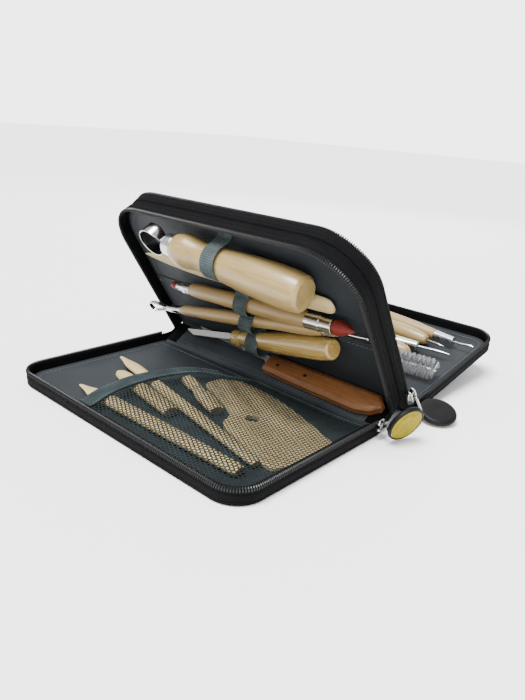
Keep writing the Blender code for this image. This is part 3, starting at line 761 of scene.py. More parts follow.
def make_gussets():
    """Black cloth that closes the spine's ends between the walls of neighbouring leaves."""
    middle = np.linspace(STRIP_END, STRIP - STRIP_END, 14)
    centred = 2 * (middle - middle[0]) / (middle[-1] - middle[0]) - 1
    dips = list(zip(middle, 3.6 + 4.6 * abs(centred) ** 1.5))
    strip_side, leaf_side, cover_side = (22.4, 24.0, 25.2), (3.8, 2.2, 0.8), (0.8, 2.2, 3.8)
    for end, sign in (("near", -1), ("far", 1)):
        web(f"front_web_{end}", "leaf", [column(LEAF, a, high, True) for a, high in dips], sign)
        web(f"back_web_{end}", "back_strip", [column(SPINE, a, high) for a, high in dips], sign)
        columns = [column(LEAF, z, upright=True) for z in strip_side] + [column(FRONT, x) for x in cover_side]
        link_web(f"front_fold_web_{end}", ("leaf", "front_cover"), columns, sign)
        columns = [column(SPINE, x) for x in strip_side] + [column(BACK, x) for x in cover_side]
        link_web(f"back_fold_web_{end}", ("back_strip", "back_cover"), columns, sign)
        columns = [column(LEAF, x, -WEB_TOP) for x in leaf_side] + [column(SPINE, x) for x in (0.8, 2.2, 3.4)]
        link_web(f"root_web_{end}", ("leaf", "back_strip"), columns, sign)
        end_patch("front", LEAF, "leaf", end, sign)
        end_patch("back", SPINE, "back_strip", end, sign)


# ---- net pocket -----------------------------------------------------------------------------------

GRID_STEP = 1.5      # the height field over the front cover
SOUTH = 26.0         # where the mouth ends beside the spine
WALL_BAND = 2.9
GRID_X = np.arange(0, 132, GRID_STEP)
GRID_Y = np.arange(-60, 108, GRID_STEP)


def mouth_at(x):
    """The pocket's mouth, as a Y for each X."""
    curve = through(POCKET_MOUTH[::-1], 1.0)
    return np.interp(x, curve[:, 0], curve[:, 1])


def net_height(objects):
    """A taut net: a membrane held at the walls and the spine seam, resting on what is under it."""
    wall_band, seam_edge, rounds = 3.2, 7.5, 700
    wall_top, seam_top, free_top, clearance = 9.0, 3.7, 8.0, 0.35
    support = np.full((len(GRID_X), len(GRID_Y)), FLOOR_TOP + 0.2)
    for obj, travel in objects:
        rest = to_local(FRONT, np.array([v.co for v in obj.data.vertices]) / MM)
        points = np.concatenate([rest + np.array([*travel, 0]) * t for t in np.linspace(0, 1, 9)])
        i = np.clip(np.round((points[:, 0] - GRID_X[0]) / GRID_STEP).astype(int), 0, len(GRID_X) - 1)
        j = np.clip(np.round((points[:, 1] - GRID_Y[0]) / GRID_STEP).astype(int), 0, len(GRID_Y) - 1)
        np.maximum.at(support, (i, j), points[:, 2] + clearance)
    x, y = np.meshgrid(GRID_X, GRID_Y, indexing="ij")
    inset_x, inset_y = WIDTH - x, HALF - y
    corner = np.hypot(np.maximum(COVER_CORNER - inset_x, 0), np.maximum(COVER_CORNER - inset_y, 0))
    wall = (np.minimum(inset_x, inset_y) < wall_band) | (corner > COVER_CORNER - wall_band)
    seam = x < seam_edge
    open_side = (y < mouth_at(x)) | ((x < SOUTH) & (y < -16 + (SOUTH - x) * 1.2))
    height = np.where(wall, wall_top, np.where(seam, seam_top, np.maximum(support, free_top)))
    held = wall | seam
    weight = np.where(open_side & ~held, 0.0, 1.0)
    for _ in range(rounds):
        total, share = np.zeros_like(height), np.zeros_like(height)
        for axis, shift in ((0, 1), (0, -1), (1, 1), (1, -1)):
            total += np.roll(height * weight, shift, axis)
            share += np.roll(weight, shift, axis)
        mean = total / np.maximum(share, 1e-6)
        height = np.where(held, height, np.maximum(mean, support))
    return height


def sample(field, x, y):
    """Bilinear reading of the height field."""
    u = np.clip((np.asarray(x) - GRID_X[0]) / GRID_STEP, 0, len(GRID_X) - 1.001)
    v = np.clip((np.asarray(y) - GRID_Y[0]) / GRID_STEP, 0, len(GRID_Y) - 1.001)
    i, j = u.astype(int), v.astype(int)
    p, q = u - i, v - j
    return ((1 - p) * (1 - q) * field[i, j] + p * (1 - q) * field[i + 1, j]
            + (1 - p) * q * field[i, j + 1] + p * q * field[i + 1, j + 1])


def inside_pocket(x, y):
    """Whether the net reaches a place: off the walls, past the seam and behind the mouth."""
    inset_x, inset_y = WIDTH - x, HALF - y
    corner = math.hypot(max(COVER_CORNER - inset_x, 0), max(COVER_CORNER - inset_y, 0))
    at_wall = min(inset_x, inset_y) < WALL_BAND or corner > COVER_CORNER - WALL_BAND
    before_mouth = y < mouth_at(max(x, SOUTH)) + BINDING * 0.5 + max(0.0, SOUTH - x) * 1.35
    return not at_wall and x > 7.0 and not before_mouth


def make_net(field):
    """Knitted net with a real hexagonal hole in every cell."""
    radius = NET_PITCH / math.sqrt(3)
    hole = radius * 0.79
    corners = [math.radians(30 + 60 * k) for k in range(6)]
    row_pitch = NET_PITCH * math.sqrt(3) / 2
    index, points, faces = {}, [], []

    def vertex(x, y):
        key = (round(x, 3), round(y, 3))
        if key not in index:
            index[key] = len(points)
            points.append((x, y))
        return index[key]

    for row in range(int(170 / row_pitch)):
        y = -60 + row * NET_PITCH * math.sqrt(3) / 2
        for column in range(int(132 / NET_PITCH)):
            x = column * NET_PITCH + (row % 2) * NET_PITCH / 2
            if not inside_pocket(x, y):
                continue
            outer = [vertex(x + radius * math.cos(a), y + radius * math.sin(a)) for a in corners]
            inner = []
            for a in corners:
                inner.append(len(points))
                points.append((x + hole * math.cos(a), y + hole * math.sin(a)))
            for k in range(6):
                n = (k + 1) % 6
                faces.append((outer[k], outer[n], inner[n], inner[k]))
    flat = np.array(points)
    mesh_points = np.column_stack([flat, sample(field, flat[:, 0], flat[:, 1]) + 0.1])
    made = piece("pocket_net_mesh", "front_cover", "net", (mesh_points, faces), FRONT,
                 stands_for=("pocket_net",), close=False)
    solid = made.modifiers.new("yarn", "SOLIDIFY")
    solid.thickness = 0.27 * MM
    solid.offset = 0


def make_binding(field):
    """Folded tape along the mouth, sewn twice."""
    xs = np.linspace(SOUTH, 127.6, 80)
    ts = np.linspace(0, 1, 13)
    grid = np.zeros((len(xs), len(ts), 3))
    edge = mouth_at(xs)
    for j, t in enumerate(ts):
        y = edge + BINDING * t
        roll = 0.55 - 0.35 * math.sin(math.pi * t)
        grid[:, j] = np.column_stack([xs, y, sample(field, xs, y) + 0.5 + roll * 0.4])
    made = piece("pocket_binding_tape", "front_cover", "binding", thick_sheet(grid, 0.9), FRONT,
                 stands_for=("pocket_binding",))
    rows = []
    for t in (0.14, 0.86):
        y = edge + BINDING * t
        rows.append(np.column_stack([xs, y, sample(field, xs, y) + 1.15]))
    stitches("pocket_binding_stitches", "front_cover", FRONT, rows, pitch=2.6, size=0.8)


def make_hems(field):
    """The narrow hems of the pocket along the spine and round the wall."""
    turn = [(26.5 - t * 13, -6 + t * 12) for t in np.linspace(0, 0.75, 8)]
    hem = through(turn + [(9.0, y) for y in np.linspace(2, 104, 50)[4:]], 2.0)
    centre = np.column_stack([hem, np.maximum(sample(field, hem[:, 0], hem[:, 1]), 3.8) + 0.3])
    across = unit_rows(np.cross(np.gradient(centre, axis=0), (0, 0, 1.0)))
    mesh_parts, flat = band(centre, across, (0, 0, 1), 2.4, 0.35)
    piece("pocket_spine_hem", "front_cover", "binding", mesh_parts, FRONT, flat)
    stitches("pocket_hem_stitches", "front_cover", FRONT, [centre + (0, 0, 0.42)], pitch=2.6, size=0.8)
    rim = rim_points(COVER_CORNER, 3.0)
    rim = rim[rim[:, 1] > mouth_at(rim[:, 0]) + 4]
    centre = with_height(rim[rim[:, 0] > 9], 9.0)
    inward = unit_rows(np.cross(np.broadcast_to((0, 0, 1.0), centre.shape), np.gradient(centre, axis=0)))
    mesh_parts, flat = band(centre, inward, (0, 0, 1), 1.5, 0.3)
    piece("pocket_wall_hem", "front_cover", "tape", mesh_parts, FRONT, flat)


# ---- turned pieces --------------------------------------------------------------------------------

GRAIN_SHIFT = np.array([37.0, 21.0, 90.0])   # sets each tool in wood of its own
JOINT_AXIS = {j["child"]: np.array(j["axis"], float) for j in frame["joints"]}
BODY_OF = {node: body for body, nodes in frame["record"]["behaviour"]["bodies"].items() for node in nodes}
HOME = {"front_cover": FRONT, "leaf": LEAF, "back_cover": BACK}
PARENT = {j["child"]: j["parent"] for j in frame["joints"]}


def tool_axes(body):
    """A tool's directions: sideways, off its leaf, and along it from its butt."""
    home = HOME[PARENT[body]]
    along = unit(JOINT_AXIS[body]) * (-1 if PARENT[body] == "back_cover" else 1)
    side = unit(np.cross(home[:3, 2], along))
    return side, np.cross(along, side), along


def node_points(node):
    """A CAD node's corners in millimetres."""
    mesh = frame["nodes"][node].data
    return np.array([v.co for v in mesh.vertices]) / MM


def tool_place(nodes, body):
    """The tool's frame, its origin on its axis at the lowest end of the first node."""
    side, face, along = tool_axes(body)
    axes = np.column_stack([side, face, along])
    local = node_points(nodes[0]) @ axes
    low, high = local.min(0), local.max(0)
    middle = (low + high) / 2
    every = np.concatenate([node_points(n) @ axes for n in nodes])
    middle[2] = every[:, 2].min()
    place = np.eye(4)
    place[:3, :3] = axes
    place[:3, 3] = axes @ middle
    return place


def stations_of(node, place, flatten):
    """The (height, radius) profile of a turned CAD node, in order along its surface."""
    local = to_local(place, node_points(node))
    radius = np.hypot(local[:, 0], local[:, 1] / flatten)
    keys = [(round(float(z), 1), round(float(r), 1)) for z, r in zip(local[:, 2], radius)]
    near = {key: set() for key in keys}
    for edge in frame["nodes"][node].data.edges:
        a, b = (keys[v] for v in edge.vertices)
        if a != b:
            near[a].add(b)
            near[b].add(a)
    ends = sorted((k for k in near if len(near[k]) == 1), key=lambda k: (k[0], k[1]))
    walk = [ends[0]] if ends else [min(near)]
    while True:
        ahead = sorted(k for k in near[walk[-1]] if k not in walk)
        if not ahead:
            break
        walk.append(ahead[0])
    return walk


def fine_profile(stations, fillet=0.5, step=1.4, bend=20.0):
    """Rounds a turned profile: an arc at each corner, a smooth curve through its gentle stations."""
    points = [np.array(p, float) for p in stations]
    if points[0][1] > 0:
        points.insert(0, np.array([points[0][0], 0.0]))
    if points[-1][1] > 0:
        points.append(np.array([points[-1][0], 0.0]))
    corners = [0]
    for at in range(1, len(points) - 1):
        one, two = unit(points[at] - points[at - 1]), unit(points[at + 1] - points[at])
        if math.degrees(math.acos(np.clip(one @ two, -1, 1))) > bend:
            corners.append(at)
    corners.append(len(points) - 1)
    made = []
    for number, (a, b) in enumerate(zip(corners, corners[1:])):
        curve = through(points[a:b + 1], step)
        reach = walked(curve)
        cut = min(fillet, reach[-1] * 0.35)
        begin = cut if number else 0.0
        finish = reach[-1] - (cut if b != corners[-1] else 0.0)
        between = reach[(reach > begin + 0.2) & (reach < finish - 0.2)]
        stops = np.unique(np.concatenate([[begin, begin + 0.12], between, [finish - 0.12, finish]]))
        run = np.column_stack([np.interp(stops, reach, curve[:, k]) for k in range(2)])
        if made:
            p, c, n = made[-1], points[a], run[0]
            made += [(1 - t) ** 2 * p + 2 * t * (1 - t) * c + t * t * n for t in (0.25, 0.5, 0.75)]
        made += list(run)
    return np.array(made)


def lathe(profile, flatten=1.0, steps=44, shape=None):
    """A turned body; shape(height, angle) gives scales across and off the leaf."""
    angles = np.linspace(0, 2 * math.pi, steps, endpoint=False)
    rings = []
    for z, r in profile:
        r = max(r, 0.004)
        across, off = shape(z, angles) if shape else (1.0, 1.0)
        rings.append(np.column_stack([np.cos(angles) * r * across, np.sin(angles) * r * flatten * off,
                                      np.full(steps, z)]))
    return loft(rings)


def crimp(low, high, count=6, depth=0.07):
    """Pressed flats round a ferrule between two heights."""
    def shape(z, angles):
        share = max(0.0, min(1.0, (z - low) / 1.2, (high - z) / 1.2))
        dent = 1 - depth * share * (0.5 + 0.5 * np.cos(count * angles)) ** 2
        return dent, dent
    return shape


def spatula(start_at, length, wide, thin):
    """A stick's end worked out wide and thin, as a modelling tip is."""
    def shape(z, angles):
        t = max(0.0, min(1.0, (z - start_at) / length))
        ease = t * t * (3 - 2 * t)
        return 1 + (wide - 1) * math.sin(math.pi * ease * 0.9), 1 + (thin - 1) * ease
    return shape


def turned(node, finish, nodes=None, flatten=1.0, shape=None, fillet=0.5, number=0, stations=None):
    """The finely turned piece that stands for a CAD node."""
    body = BODY_OF[node]
    place = tool_place(nodes or [node], body)
    profile = fine_profile(stations or stations_of(node, place, flatten), fillet)
    mesh_parts = lathe(profile, flatten, shape=shape)
    offset = GRAIN_SHIFT * number
    suffix = {"steel": "_metal", "aluminium": "_metal", "red": "_rubber"}.get(finish, "_wood")
    return piece(node + suffix, body, finish, mesh_parts, place, np.asarray(mesh_parts[0]) + offset, (node,))


def saw_cut(node, number):
    """The darker sawn end of a pocket stick, a hair proud of it."""
    place = tool_place([node], BODY_OF[node])
    stations = stations_of(node, place, STICK_FLAT)
    radius = max(r for z, r in stations if z < 0.6)
    profile = [(-0.05, 0), (-0.05, radius * 0.9), (0.0, radius * 0.97), (0.15, radius * 0.98), (0.15, 0)]
    mesh_parts = lathe(fine_profile(profile, 0.05), STICK_FLAT)
    piece(node + "_saw_cut", BODY_OF[node], "end_grain", mesh_parts, place,
          np.asarray(mesh_parts[0]) + number * 50)


NECKED_TRAVEL = (-10.6, -28.0)       # how far they slide over the front cover
RIB_TRAVEL = (-2.5, -6.6)
RIB_HOLE, RIB_HOLE_RADIUS = np.array([56.5, 48.0]), 4.5
RIB_LOW, RIB_HIGH = 3.5, 6.7


def make_rib():
    """The flat wooden rib with rounded edges and a finger hole."""
    outline = smooth_closed(RIB_OUTLINE, 10)
    middle = outline.mean(0)
    count = len(outline)
    around = np.arctan2(outline[:, 1] - RIB_HOLE[1], outline[:, 0] - RIB_HOLE[0])
    ring = RIB_HOLE + RIB_HOLE_RADIUS * np.column_stack([np.cos(around), np.sin(around)])
    edge = [(0.985, RIB_LOW), (1.0, RIB_LOW + 0.5), (1.0, RIB_HIGH - 0.9), (0.985, RIB_HIGH - 0.35),
            (0.96, RIB_HIGH - 0.05), (0.93, RIB_HIGH)]
    rings = [with_height(middle + (outline - middle) * share, height) for share, height in edge]
    rings += [with_height(ring + (outline - ring) * share, RIB_HIGH + 0.12) for share in (0.7, 0.45, 0.25)]
    rings += [with_height(RIB_HOLE + (ring - RIB_HOLE) * 1.12, RIB_HIGH), with_height(ring, RIB_HIGH - 0.4),
              with_height(ring, RIB_LOW + 0.3), with_height(RIB_HOLE + (ring - RIB_HOLE) * 1.1, RIB_LOW)]
    points, faces = loft(rings, caps=False)
    last = (len(rings) - 1) * count
    faces += [(k, (k + 1) % count, last + (k + 1) % count, last + k) for k in range(count)]
    return piece("wood_rib_blank", "wood_rib", "raw_wood", (points, faces), FRONT, points[:, [0, 2, 1]],
                 ("wood_rib",))


def make_pocket_tools():
    """Sticks and the wooden rib under the net; returns what the net rests on and how far it slides."""
    shapes = {"long_stick": spatula(112, 30, 1.35, 0.45), "slant_stick": spatula(148, 26, 1.2, 0.5)}
    made = []
    for number, node in enumerate(("long_stick", "slant_stick", "round_stick", "necked_stick")):
        stick = turned(node, "raw_wood", flatten=STICK_FLAT, shape=shapes.get(node), number=number + 1)
        made.append((stick, NECKED_TRAVEL if node == "necked_stick" else (0, 0)))
        saw_cut(node, number)
    return made + [(make_rib(), RIB_TRAVEL)]


# ---- tools on the leaf ----------------------------------------------------------------------------

# turned handles as (height from the butt, radius)
RIBBON_HANDLE = [(0, 9.4), (1.9, 11.3), (7, 12.1), (18, 12.6), (34, 12.4), (52, 11.4), (66, 10.2),
                 (74, 9.5), (82, 9.5), (89, 10.5), (95, 11.4), (100, 11.2), (104, 10.0), (106.4, 8.2),
                 (107, 6.8)]
SHAPER_HANDLE = [(35.8, 4.9), (36.6, 5.3), (60, 5.8), (90, 5.9), (120, 5.4), (144, 4.9), (147.2, 4.5),
                 (148, 3.7)]
DETAIL_HANDLE = [(34, 3.0), (37, 3.5), (74, 4.2), (114, 4.9), (140, 4.6), (158, 4.0), (168, 3.6),
                 (170.2, 3.1)]
KNIFE_HANDLE = [(0, 5.6), (1.1, 6.8), (6, 7.5), (24, 8.0), (48, 7.7), (70, 6.7), (82, 6.0), (91, 5.6),
                (93.2, 5.3), (94.0, 4.7), (94.8, 5.4), (96.5, 6.1), (101.0, 6.2), (102.8, 5.5), (103.4, 4.6)]


def ribbon(name, body, finish, path, place, half_width, half_thick, stands_for):
    """A flat strip bent along a path, its width lying along Y; returns the piece."""
    normal = unit_rows(np.cross(np.gradient(path, axis=0), (0, 1.0, 0)))
    mesh_parts, flat = band(path, (0, 1, 0), normal, half_width, half_thick)
    return piece(name, body, finish, mesh_parts, place, flat, stands_for)


def make_ribbon_tool():
    """The big pear-shaped handle with its bent steel strap."""
    nodes = ["ribbon_tool_handle", "ribbon_tool_ferrule", "ribbon_tool_strap"]
    turned(nodes[0], "pale_wood", nodes, number=5, stations=RIBBON_HANDLE)
    turned(nodes[1], "aluminium", nodes, fillet=0.4)
    place = tool_place(nodes, "ribbon_tool")
    root, centre, radius = 115.0, 127.2, 10.3
    angles = np.radians(np.linspace(-62, 242, 70))
    circle = np.column_stack([radius * np.cos(angles), np.zeros(70), centre + radius * np.sin(angles)])
    legs = [(2.6, 0, root - 0.5), (3.0, 0, root + 1.4), (4.2, 0, centre - radius * 0.95)]
    path = through(np.array(legs + list(circle[4:-4:6]) + [(-x, y, z) for x, y, z in legs[::-1]]), 0.9)
    share = np.clip((path[:, 2] - root) / 8, 0, 1)
    width = 2.6 + 1.9 * share * share * (3 - 2 * share)
    ribbon("ribbon_tool_loop", "ribbon_tool", "steel", path, place, width, 0.45, (nodes[2],))
    rivets = np.array([(0, 3.4, root + 2.4), (0, -3.4, root + 2.4)])
    rivet = lathe(fine_profile([(0, 0), (0, 0.9), (0.4, 0.8), (0.6, 0)], 0.1), steps=16)
    across, up, out = (np.array([(1.0, 0, 0), (1.0, 0, 0)]), np.array([(0, 0, 1.0), (0, 0, -1.0)]),
                       np.array([(0, 1.0, 0), (0, -1.0, 0)]))
    piece("ribbon_tool_pins", "ribbon_tool", "aluminium", scatter(rivet, rivets, across, up, out), place)


def make_leaf_knife():
    """A flat boxwood blade, thick in the middle and thin at its edges."""
    place = tool_place(["leaf_knife"], "leaf_knife")
    tip = 178
    half = [(0.0, 2.6), (1.2, 4.6), (4, 6.0), (9, 6.5), (60, 6.7), (105, 7.5), (135, 6.7), (160, 4.1),
            (174, 1.3), (tip, 0.1)]
    angles = np.linspace(0, 2 * math.pi, 32, endpoint=False)
    rings = []
    for z, w in through(half, 2.0):
        thick = 2.45 * min(1.0, 0.25 + z / 4) * min(1.0, 0.16 + (tip - z) / 70)
        rings.append(np.column_stack([np.sign(np.cos(angles)) * np.abs(np.cos(angles)) ** 0.8 * max(w, 0.1),
                                      np.sign(np.sin(angles)) * np.abs(np.sin(angles)) ** 1.2 * thick,
                                      np.full(32, z)]))
    mesh_parts = loft(rings)
    piece("leaf_knife_blade", "leaf_knife", "raw_wood", mesh_parts, place, mesh_parts[0] + 300,
          ("leaf_knife",))


def make_shaper():
    """The double-ended shaper with its red rubber tips."""
    nodes = ["shaper_" + name for name in ("handle", "near_ferrule", "far_ferrule", "near_tip", "far_tip")]
    turned(nodes[0], "tan_wood", nodes, number=7, stations=SHAPER_HANDLE)
    turned(nodes[1], "steel", nodes, fillet=0.3)
    turned(nodes[2], "steel", nodes, fillet=0.3, shape=crimp(148.5, 163.0, 4, 0.16))
    turned(nodes[3], "red", nodes, fillet=0.8)
    turned(nodes[4], "red", nodes, fillet=0.6)


def make_detail_tool():
    """A small ribbon loop at one end and a ball stylus at the other."""
    nodes = ["detail_tool_" + name for name in ("handle", "far_ferrule", "near_ferrule", "stylus", "loop")]
    turned(nodes[0], "tan_wood", nodes, number=9, stations=DETAIL_HANDLE)
    turned(nodes[1], "steel", nodes, fillet=0.3, shape=crimp(171, 187, 4, 0.12))
    turned(nodes[2], "aluminium", nodes, fillet=0.3)
    place = tool_place(nodes, "detail_tool")
    top = to_local(place, node_points("detail_tool_loop"))[:, 2].max()
    centre, radius = top - 4.6, 4.2
    root = centre - 17
    angles = np.radians(np.linspace(-20, 200, 24))
    circle = [(radius * math.cos(a), 0, centre + radius * math.sin(a)) for a in angles]
    path = through([(1.3, 0, root - 0.6)] + circle[::3] + [(-1.3, 0, root - 0.6)], 0.6)
    ribbon("detail_tool_ribbon", "detail_tool", "steel", path, place, 1.6, 0.35, ("detail_tool_loop",))
    low = to_local(place, node_points("detail_tool_stylus"))[:, 2].min()
    stem = through([(0, 0, low + 21.5), (0.2, 0, low + 15), (1.0, 0, low + 8), (1.4, 0, low + 1.2)], 0.8)
    piece("detail_tool_ball_stem", "detail_tool", "steel", tube(stem, 0.62), place,
          stands_for=("detail_tool_stylus",))
    radius = 1.15
    arc = [(radius - radius * math.cos(a), radius * math.sin(a)) for a in np.linspace(0, math.pi, 14)]
    points, faces = lathe(arc, steps=24)
    piece("detail_tool_ball", "detail_tool", "steel", (points + (1.4, 0, low), faces), place)


def make_clay_knife():
    """Lacquered handle and a steel blade ground to a slanted point."""
    nodes = ["clay_knife_handle", "clay_knife_blade"]
    turned(nodes[0], "lacquer", nodes, number=11, stations=KNIFE_HANDLE)
    place = tool_place(nodes, "clay_knife")
    tilt = math.radians(60)
    place = place @ np.array([[math.cos(tilt), -math.sin(tilt), 0, 0], [math.sin(tilt), math.cos(tilt), 0, 0],
                              [0, 0, 1, 0], [0, 0, 0, 1]])
    rows = [(102.5, -1.6, 1.6, 0.9), (107, -2.0, 2.0, 0.7), (112, -2.5, 2.5, 0.6), (159, -2.4, 2.5, 0.5),
            (165, -2.25, 0.4, 0.4), (170, -2.2, -1.6, 0.15)]
    rings = []
    for z, low, high, thick in rows:
        middle = (low + high) / 2
        rings.append([(low, -thick, z), (middle, -thick, z), (high - 0.4, -thick, z), (high, 0, z),
                      (high - 0.4, thick, z), (middle, thick, z), (low, thick, z)])
    piece("clay_knife_steel", "clay_knife", "blade", loft(rings), place, stands_for=("clay_knife_blade",),
          sharp=20)


def prism(outline, low, high, edge, steps=3):
    """An outline (n, 2) as a solid between two heights with rounded edges."""
    outline = np.asarray(outline, float)
    middle = outline.mean(0)
    size = np.ptp(outline, axis=0) / 2
    rings = []
    bends = [math.pi / 2 * k / steps for k in range(steps + 1)]
    for face, inwards, turns in ((low, edge, bends), (high, -edge, bends[::-1])):
        for a in turns:
            shrink = 1 - edge * (1 - math.sin(a)) / size
            height = face + inwards * (1 - math.cos(a))
            rings.append(with_height(middle + (outline - middle) * shrink, height))
    return loft(rings)


def dense(outline, step=2.0):
    """More points along a straight-sided outline."""
    made = []
    for a, b in zip(outline, outline[1:] + outline[:1]):
        count = max(1, int(math.dist(a, b) / step))
        made += [(a[0] + (b[0] - a[0]) * k / count, a[1] + (b[1] - a[1]) * k / count) for k in range(count)]
    return made


GRIP = [(0, -3.4), (5, -8.8), (50, -8.6), (97.6, -7.7), (98, -7.4), (98, 7.4), (97.6, 7.7), (50, 8.6),
        (16, 8.8), (6, 6.0), (0, 0.5)]
GRIP_CHAMFER = [(0.0, 0.0), (0.08, 0.0), (0.38, 0.1), (0.46, 0.35), (0.93, 2.5), (0.98, 2.9), (1.0, 3.3)]
POTTER_STEEL = [(6, -6.0), (8, 5.0), (97, 5.6), (99, 1.0), (104, -1.8), (140, -3.6), (172, -5.4), (180, -8.4),
                (104, -6.4), (98, -5.8)]


def knife_scale(name, turn):
    """One hardwood side of the grip with a broad chamfer, and its two pins."""
    node = f"potter_knife_{name}_scale"
    depth = to_local(turn, node_points(node))[:, 2]
    low, high = depth.min(), depth.max()
    inner, outer = (low, high) if abs(high) > abs(low) else (high, low)
    size, middle = np.array([50.0, 8.0]), np.array([50.0, 0.0])
    rings = []
    for share, inset in GRIP_CHAMFER:
        outline = middle + (np.array(dense(GRIP)) - middle) * (1 - np.array([inset * 0.25, inset]) / size)
        rings.append(with_height(outline, inner + (outer - inner) * share))
    mesh_parts = loft(rings)
    local = mesh_parts[0][:, [1, 2, 0]] + 500
    piece(f"potter_knife_{name}_wood", "potter_knife", "hardwood", mesh_parts, turn, local, (node,), sharp=22)
    sign = 1.0 if outer > inner else -1.0
    pins = np.array([(87.0, 0.6, outer - sign * 0.25), (62.0, 0.3, outer - sign * 0.25)])
    pin = lathe(fine_profile([(0, 0), (0, 1.5), (0.35, 1.3), (0.45, 0)], 0.1), steps=20)
    axes = [np.array([axis, axis]) for axis in ((1.0, 0, 0), (0, 1.0, 0), (0, 0, sign))]
    piece(f"potter_knife_{name}_pins", "potter_knife", "brass", scatter(pin, pins, *axes), turn)


def make_potter_knife():
    """Two hardwood scales on a steel tang that runs out into the blade."""
    place = tool_place(["potter_knife_blade", "potter_knife_upper_scale", "potter_knife_lower_scale"],
                       "potter_knife")
    face, along = place[:3, 1], place[:3, 2]
    turn = np.eye(4)
    turn[:3, 0], turn[:3, 1], turn[:3, 2] = along, face, np.cross(along, face)
    blade = to_local(place, node_points("potter_knife_blade"))
    origin = np.array([(blade[:, 0].min() + blade[:, 0].max()) / 2, blade[:, 1].max() - 6.0, 0.0])
    turn[:3, 3] = place[:3, 3] + place[:3, :3] @ origin
    for name in ("upper", "lower"):
        knife_scale(name, turn)
    mesh_parts = prism(dense(POTTER_STEEL, 1.5), -0.6, 0.6, 0.25, 2)
    piece("potter_knife_steel", "potter_knife", "blade", mesh_parts, turn, mesh_parts[0][:, [1, 2, 0]],
          ("potter_knife_blade",), sharp=20)


# ---- elastics and the slip pocket ------------------------------------------------------------------

def over(centre, lift, radius, slack=0.9):
    """An elastic's run over one round tool."""
    angles = np.radians(np.linspace(8, 172, 14))
    return [(centre + (radius + slack) * math.cos(a), lift + (radius + slack) * math.sin(a)) for a in angles]


def drift(middle, slant, x):
    """Where along a tool the elastic crosses it; it leans towards the spine."""
    return middle + slant * np.maximum(0, 66 - x)


def make_strap(name, body, place, path, middle, slant=0.0, stands_for=()):
    """One woven elastic band raised over every tool and tacked down between them."""
    path = through(path, 0.8)
    centre = np.column_stack([path[:, 0], drift(middle, slant, path[:, 0]), path[:, 1]])
    made = ribbon(name, body, "elastic", centre, place, ELASTIC / 2, 0.45, stands_for)


def tacks(name, body, place, height, spots, middle, slant=0.0):
    """Bar tacks that sew an elastic down between two loops."""
    reach = 5.2
    rows = []
    for x in spots:
        at = drift(middle, slant, x)
        rows.append(np.array([(x, at - reach, height), (x, at + reach, height)]))
    stitches(name, body, place, rows, pitch=1.3, finish="black_thread", size=1.1)


def make_elastics():
    """The elastic over the leaf's tools and the one on the back cover."""
    low, middle, slant = 2.9, -5.5, 0.075
    path = [(124.5, low), (121.0, low + 0.2)] + over(108.7, 15.4, 10.3)
    path += [(96.2, 6.0), (94.6, low), (92.9, 5.0), (91.0, 8.8), (84, 9.3), (77.6, 9.2)]
    path += over(66.3, 9.2, 6.9) + [(58.0, 6.6)] + over(50.4, 11.6, 6.1)
    path += [(43.0, 5.5), (41.3, low), (39.8, 5.0)] + over(29.4, 11.0, 8.5)
    path += [(19.0, 5.5), (17.2, low), (12, low), (4.4, low)]
    make_strap("tool_elastic_band", "leaf", LEAF, path, middle, slant, ("tool_elastic",))
    tacks("tool_elastic_tacks", "leaf", LEAF, low + 0.6, (123.4, 94.6, 41.3, 17.2, 5.6), middle, slant)
    low, middle = 3.9, 21.0
    path = [(122.5, low), (119.0, low + 0.2)] + over(110.4, 9.7, 6.1) + [(103.8, 9.6)] + over(97.2, 9.7, 6.2)
    path += [(89.5, 5.5), (87.5, low), (78, low), (74.6, 5.2)] + over(66.2, 9.7, 6.0)
    path += [(59.6, 8.2)] + over(52.6, 9.7, 6.2) + [(45.4, 5.5), (43.6, low), (40.0, low)]
    make_strap("back_elastic_band", "back_cover", BACK, path, middle)
    tacks("back_elastic_tacks", "back_cover", BACK, low + 0.6, (121.2, 87.0, 78.5, 41.5), middle)


def make_slip_panel():
    """The low slip pocket over the leaf's lining, its free edge hemmed and sewn."""
    xs = np.concatenate([np.linspace(3.6, 50, 12), [52.4, 52.9, 53.4, 55.5, 57.4, 58.0]])
    ys = np.linspace(-103.8, 103.8, 60)
    grid = np.zeros((len(xs), len(ys), 3))
    for i, x in enumerate(xs):
        lift = 2.5 + (0.12 if x > 53.2 else 0) - (0.1 if 52.3 < x < 53.5 else 0)
        row = np.column_stack([np.full(len(ys), x), ys])
        grid[i] = np.column_stack([row, lift + ripple(row, 0.05)])
    made = piece("leaf_slip_pocket", "leaf", "lining", thick_sheet(grid, 0.45), LEAF)
    rows = [np.array([(x, -103, height), (x, 103, height)]) for x, height in ((52.9, 2.75), (4.8, 2.8))]
    stitches("leaf_slip_stitches", "leaf", LEAF, rows)


# ---- tools on the back cover ------------------------------------------------------------------------

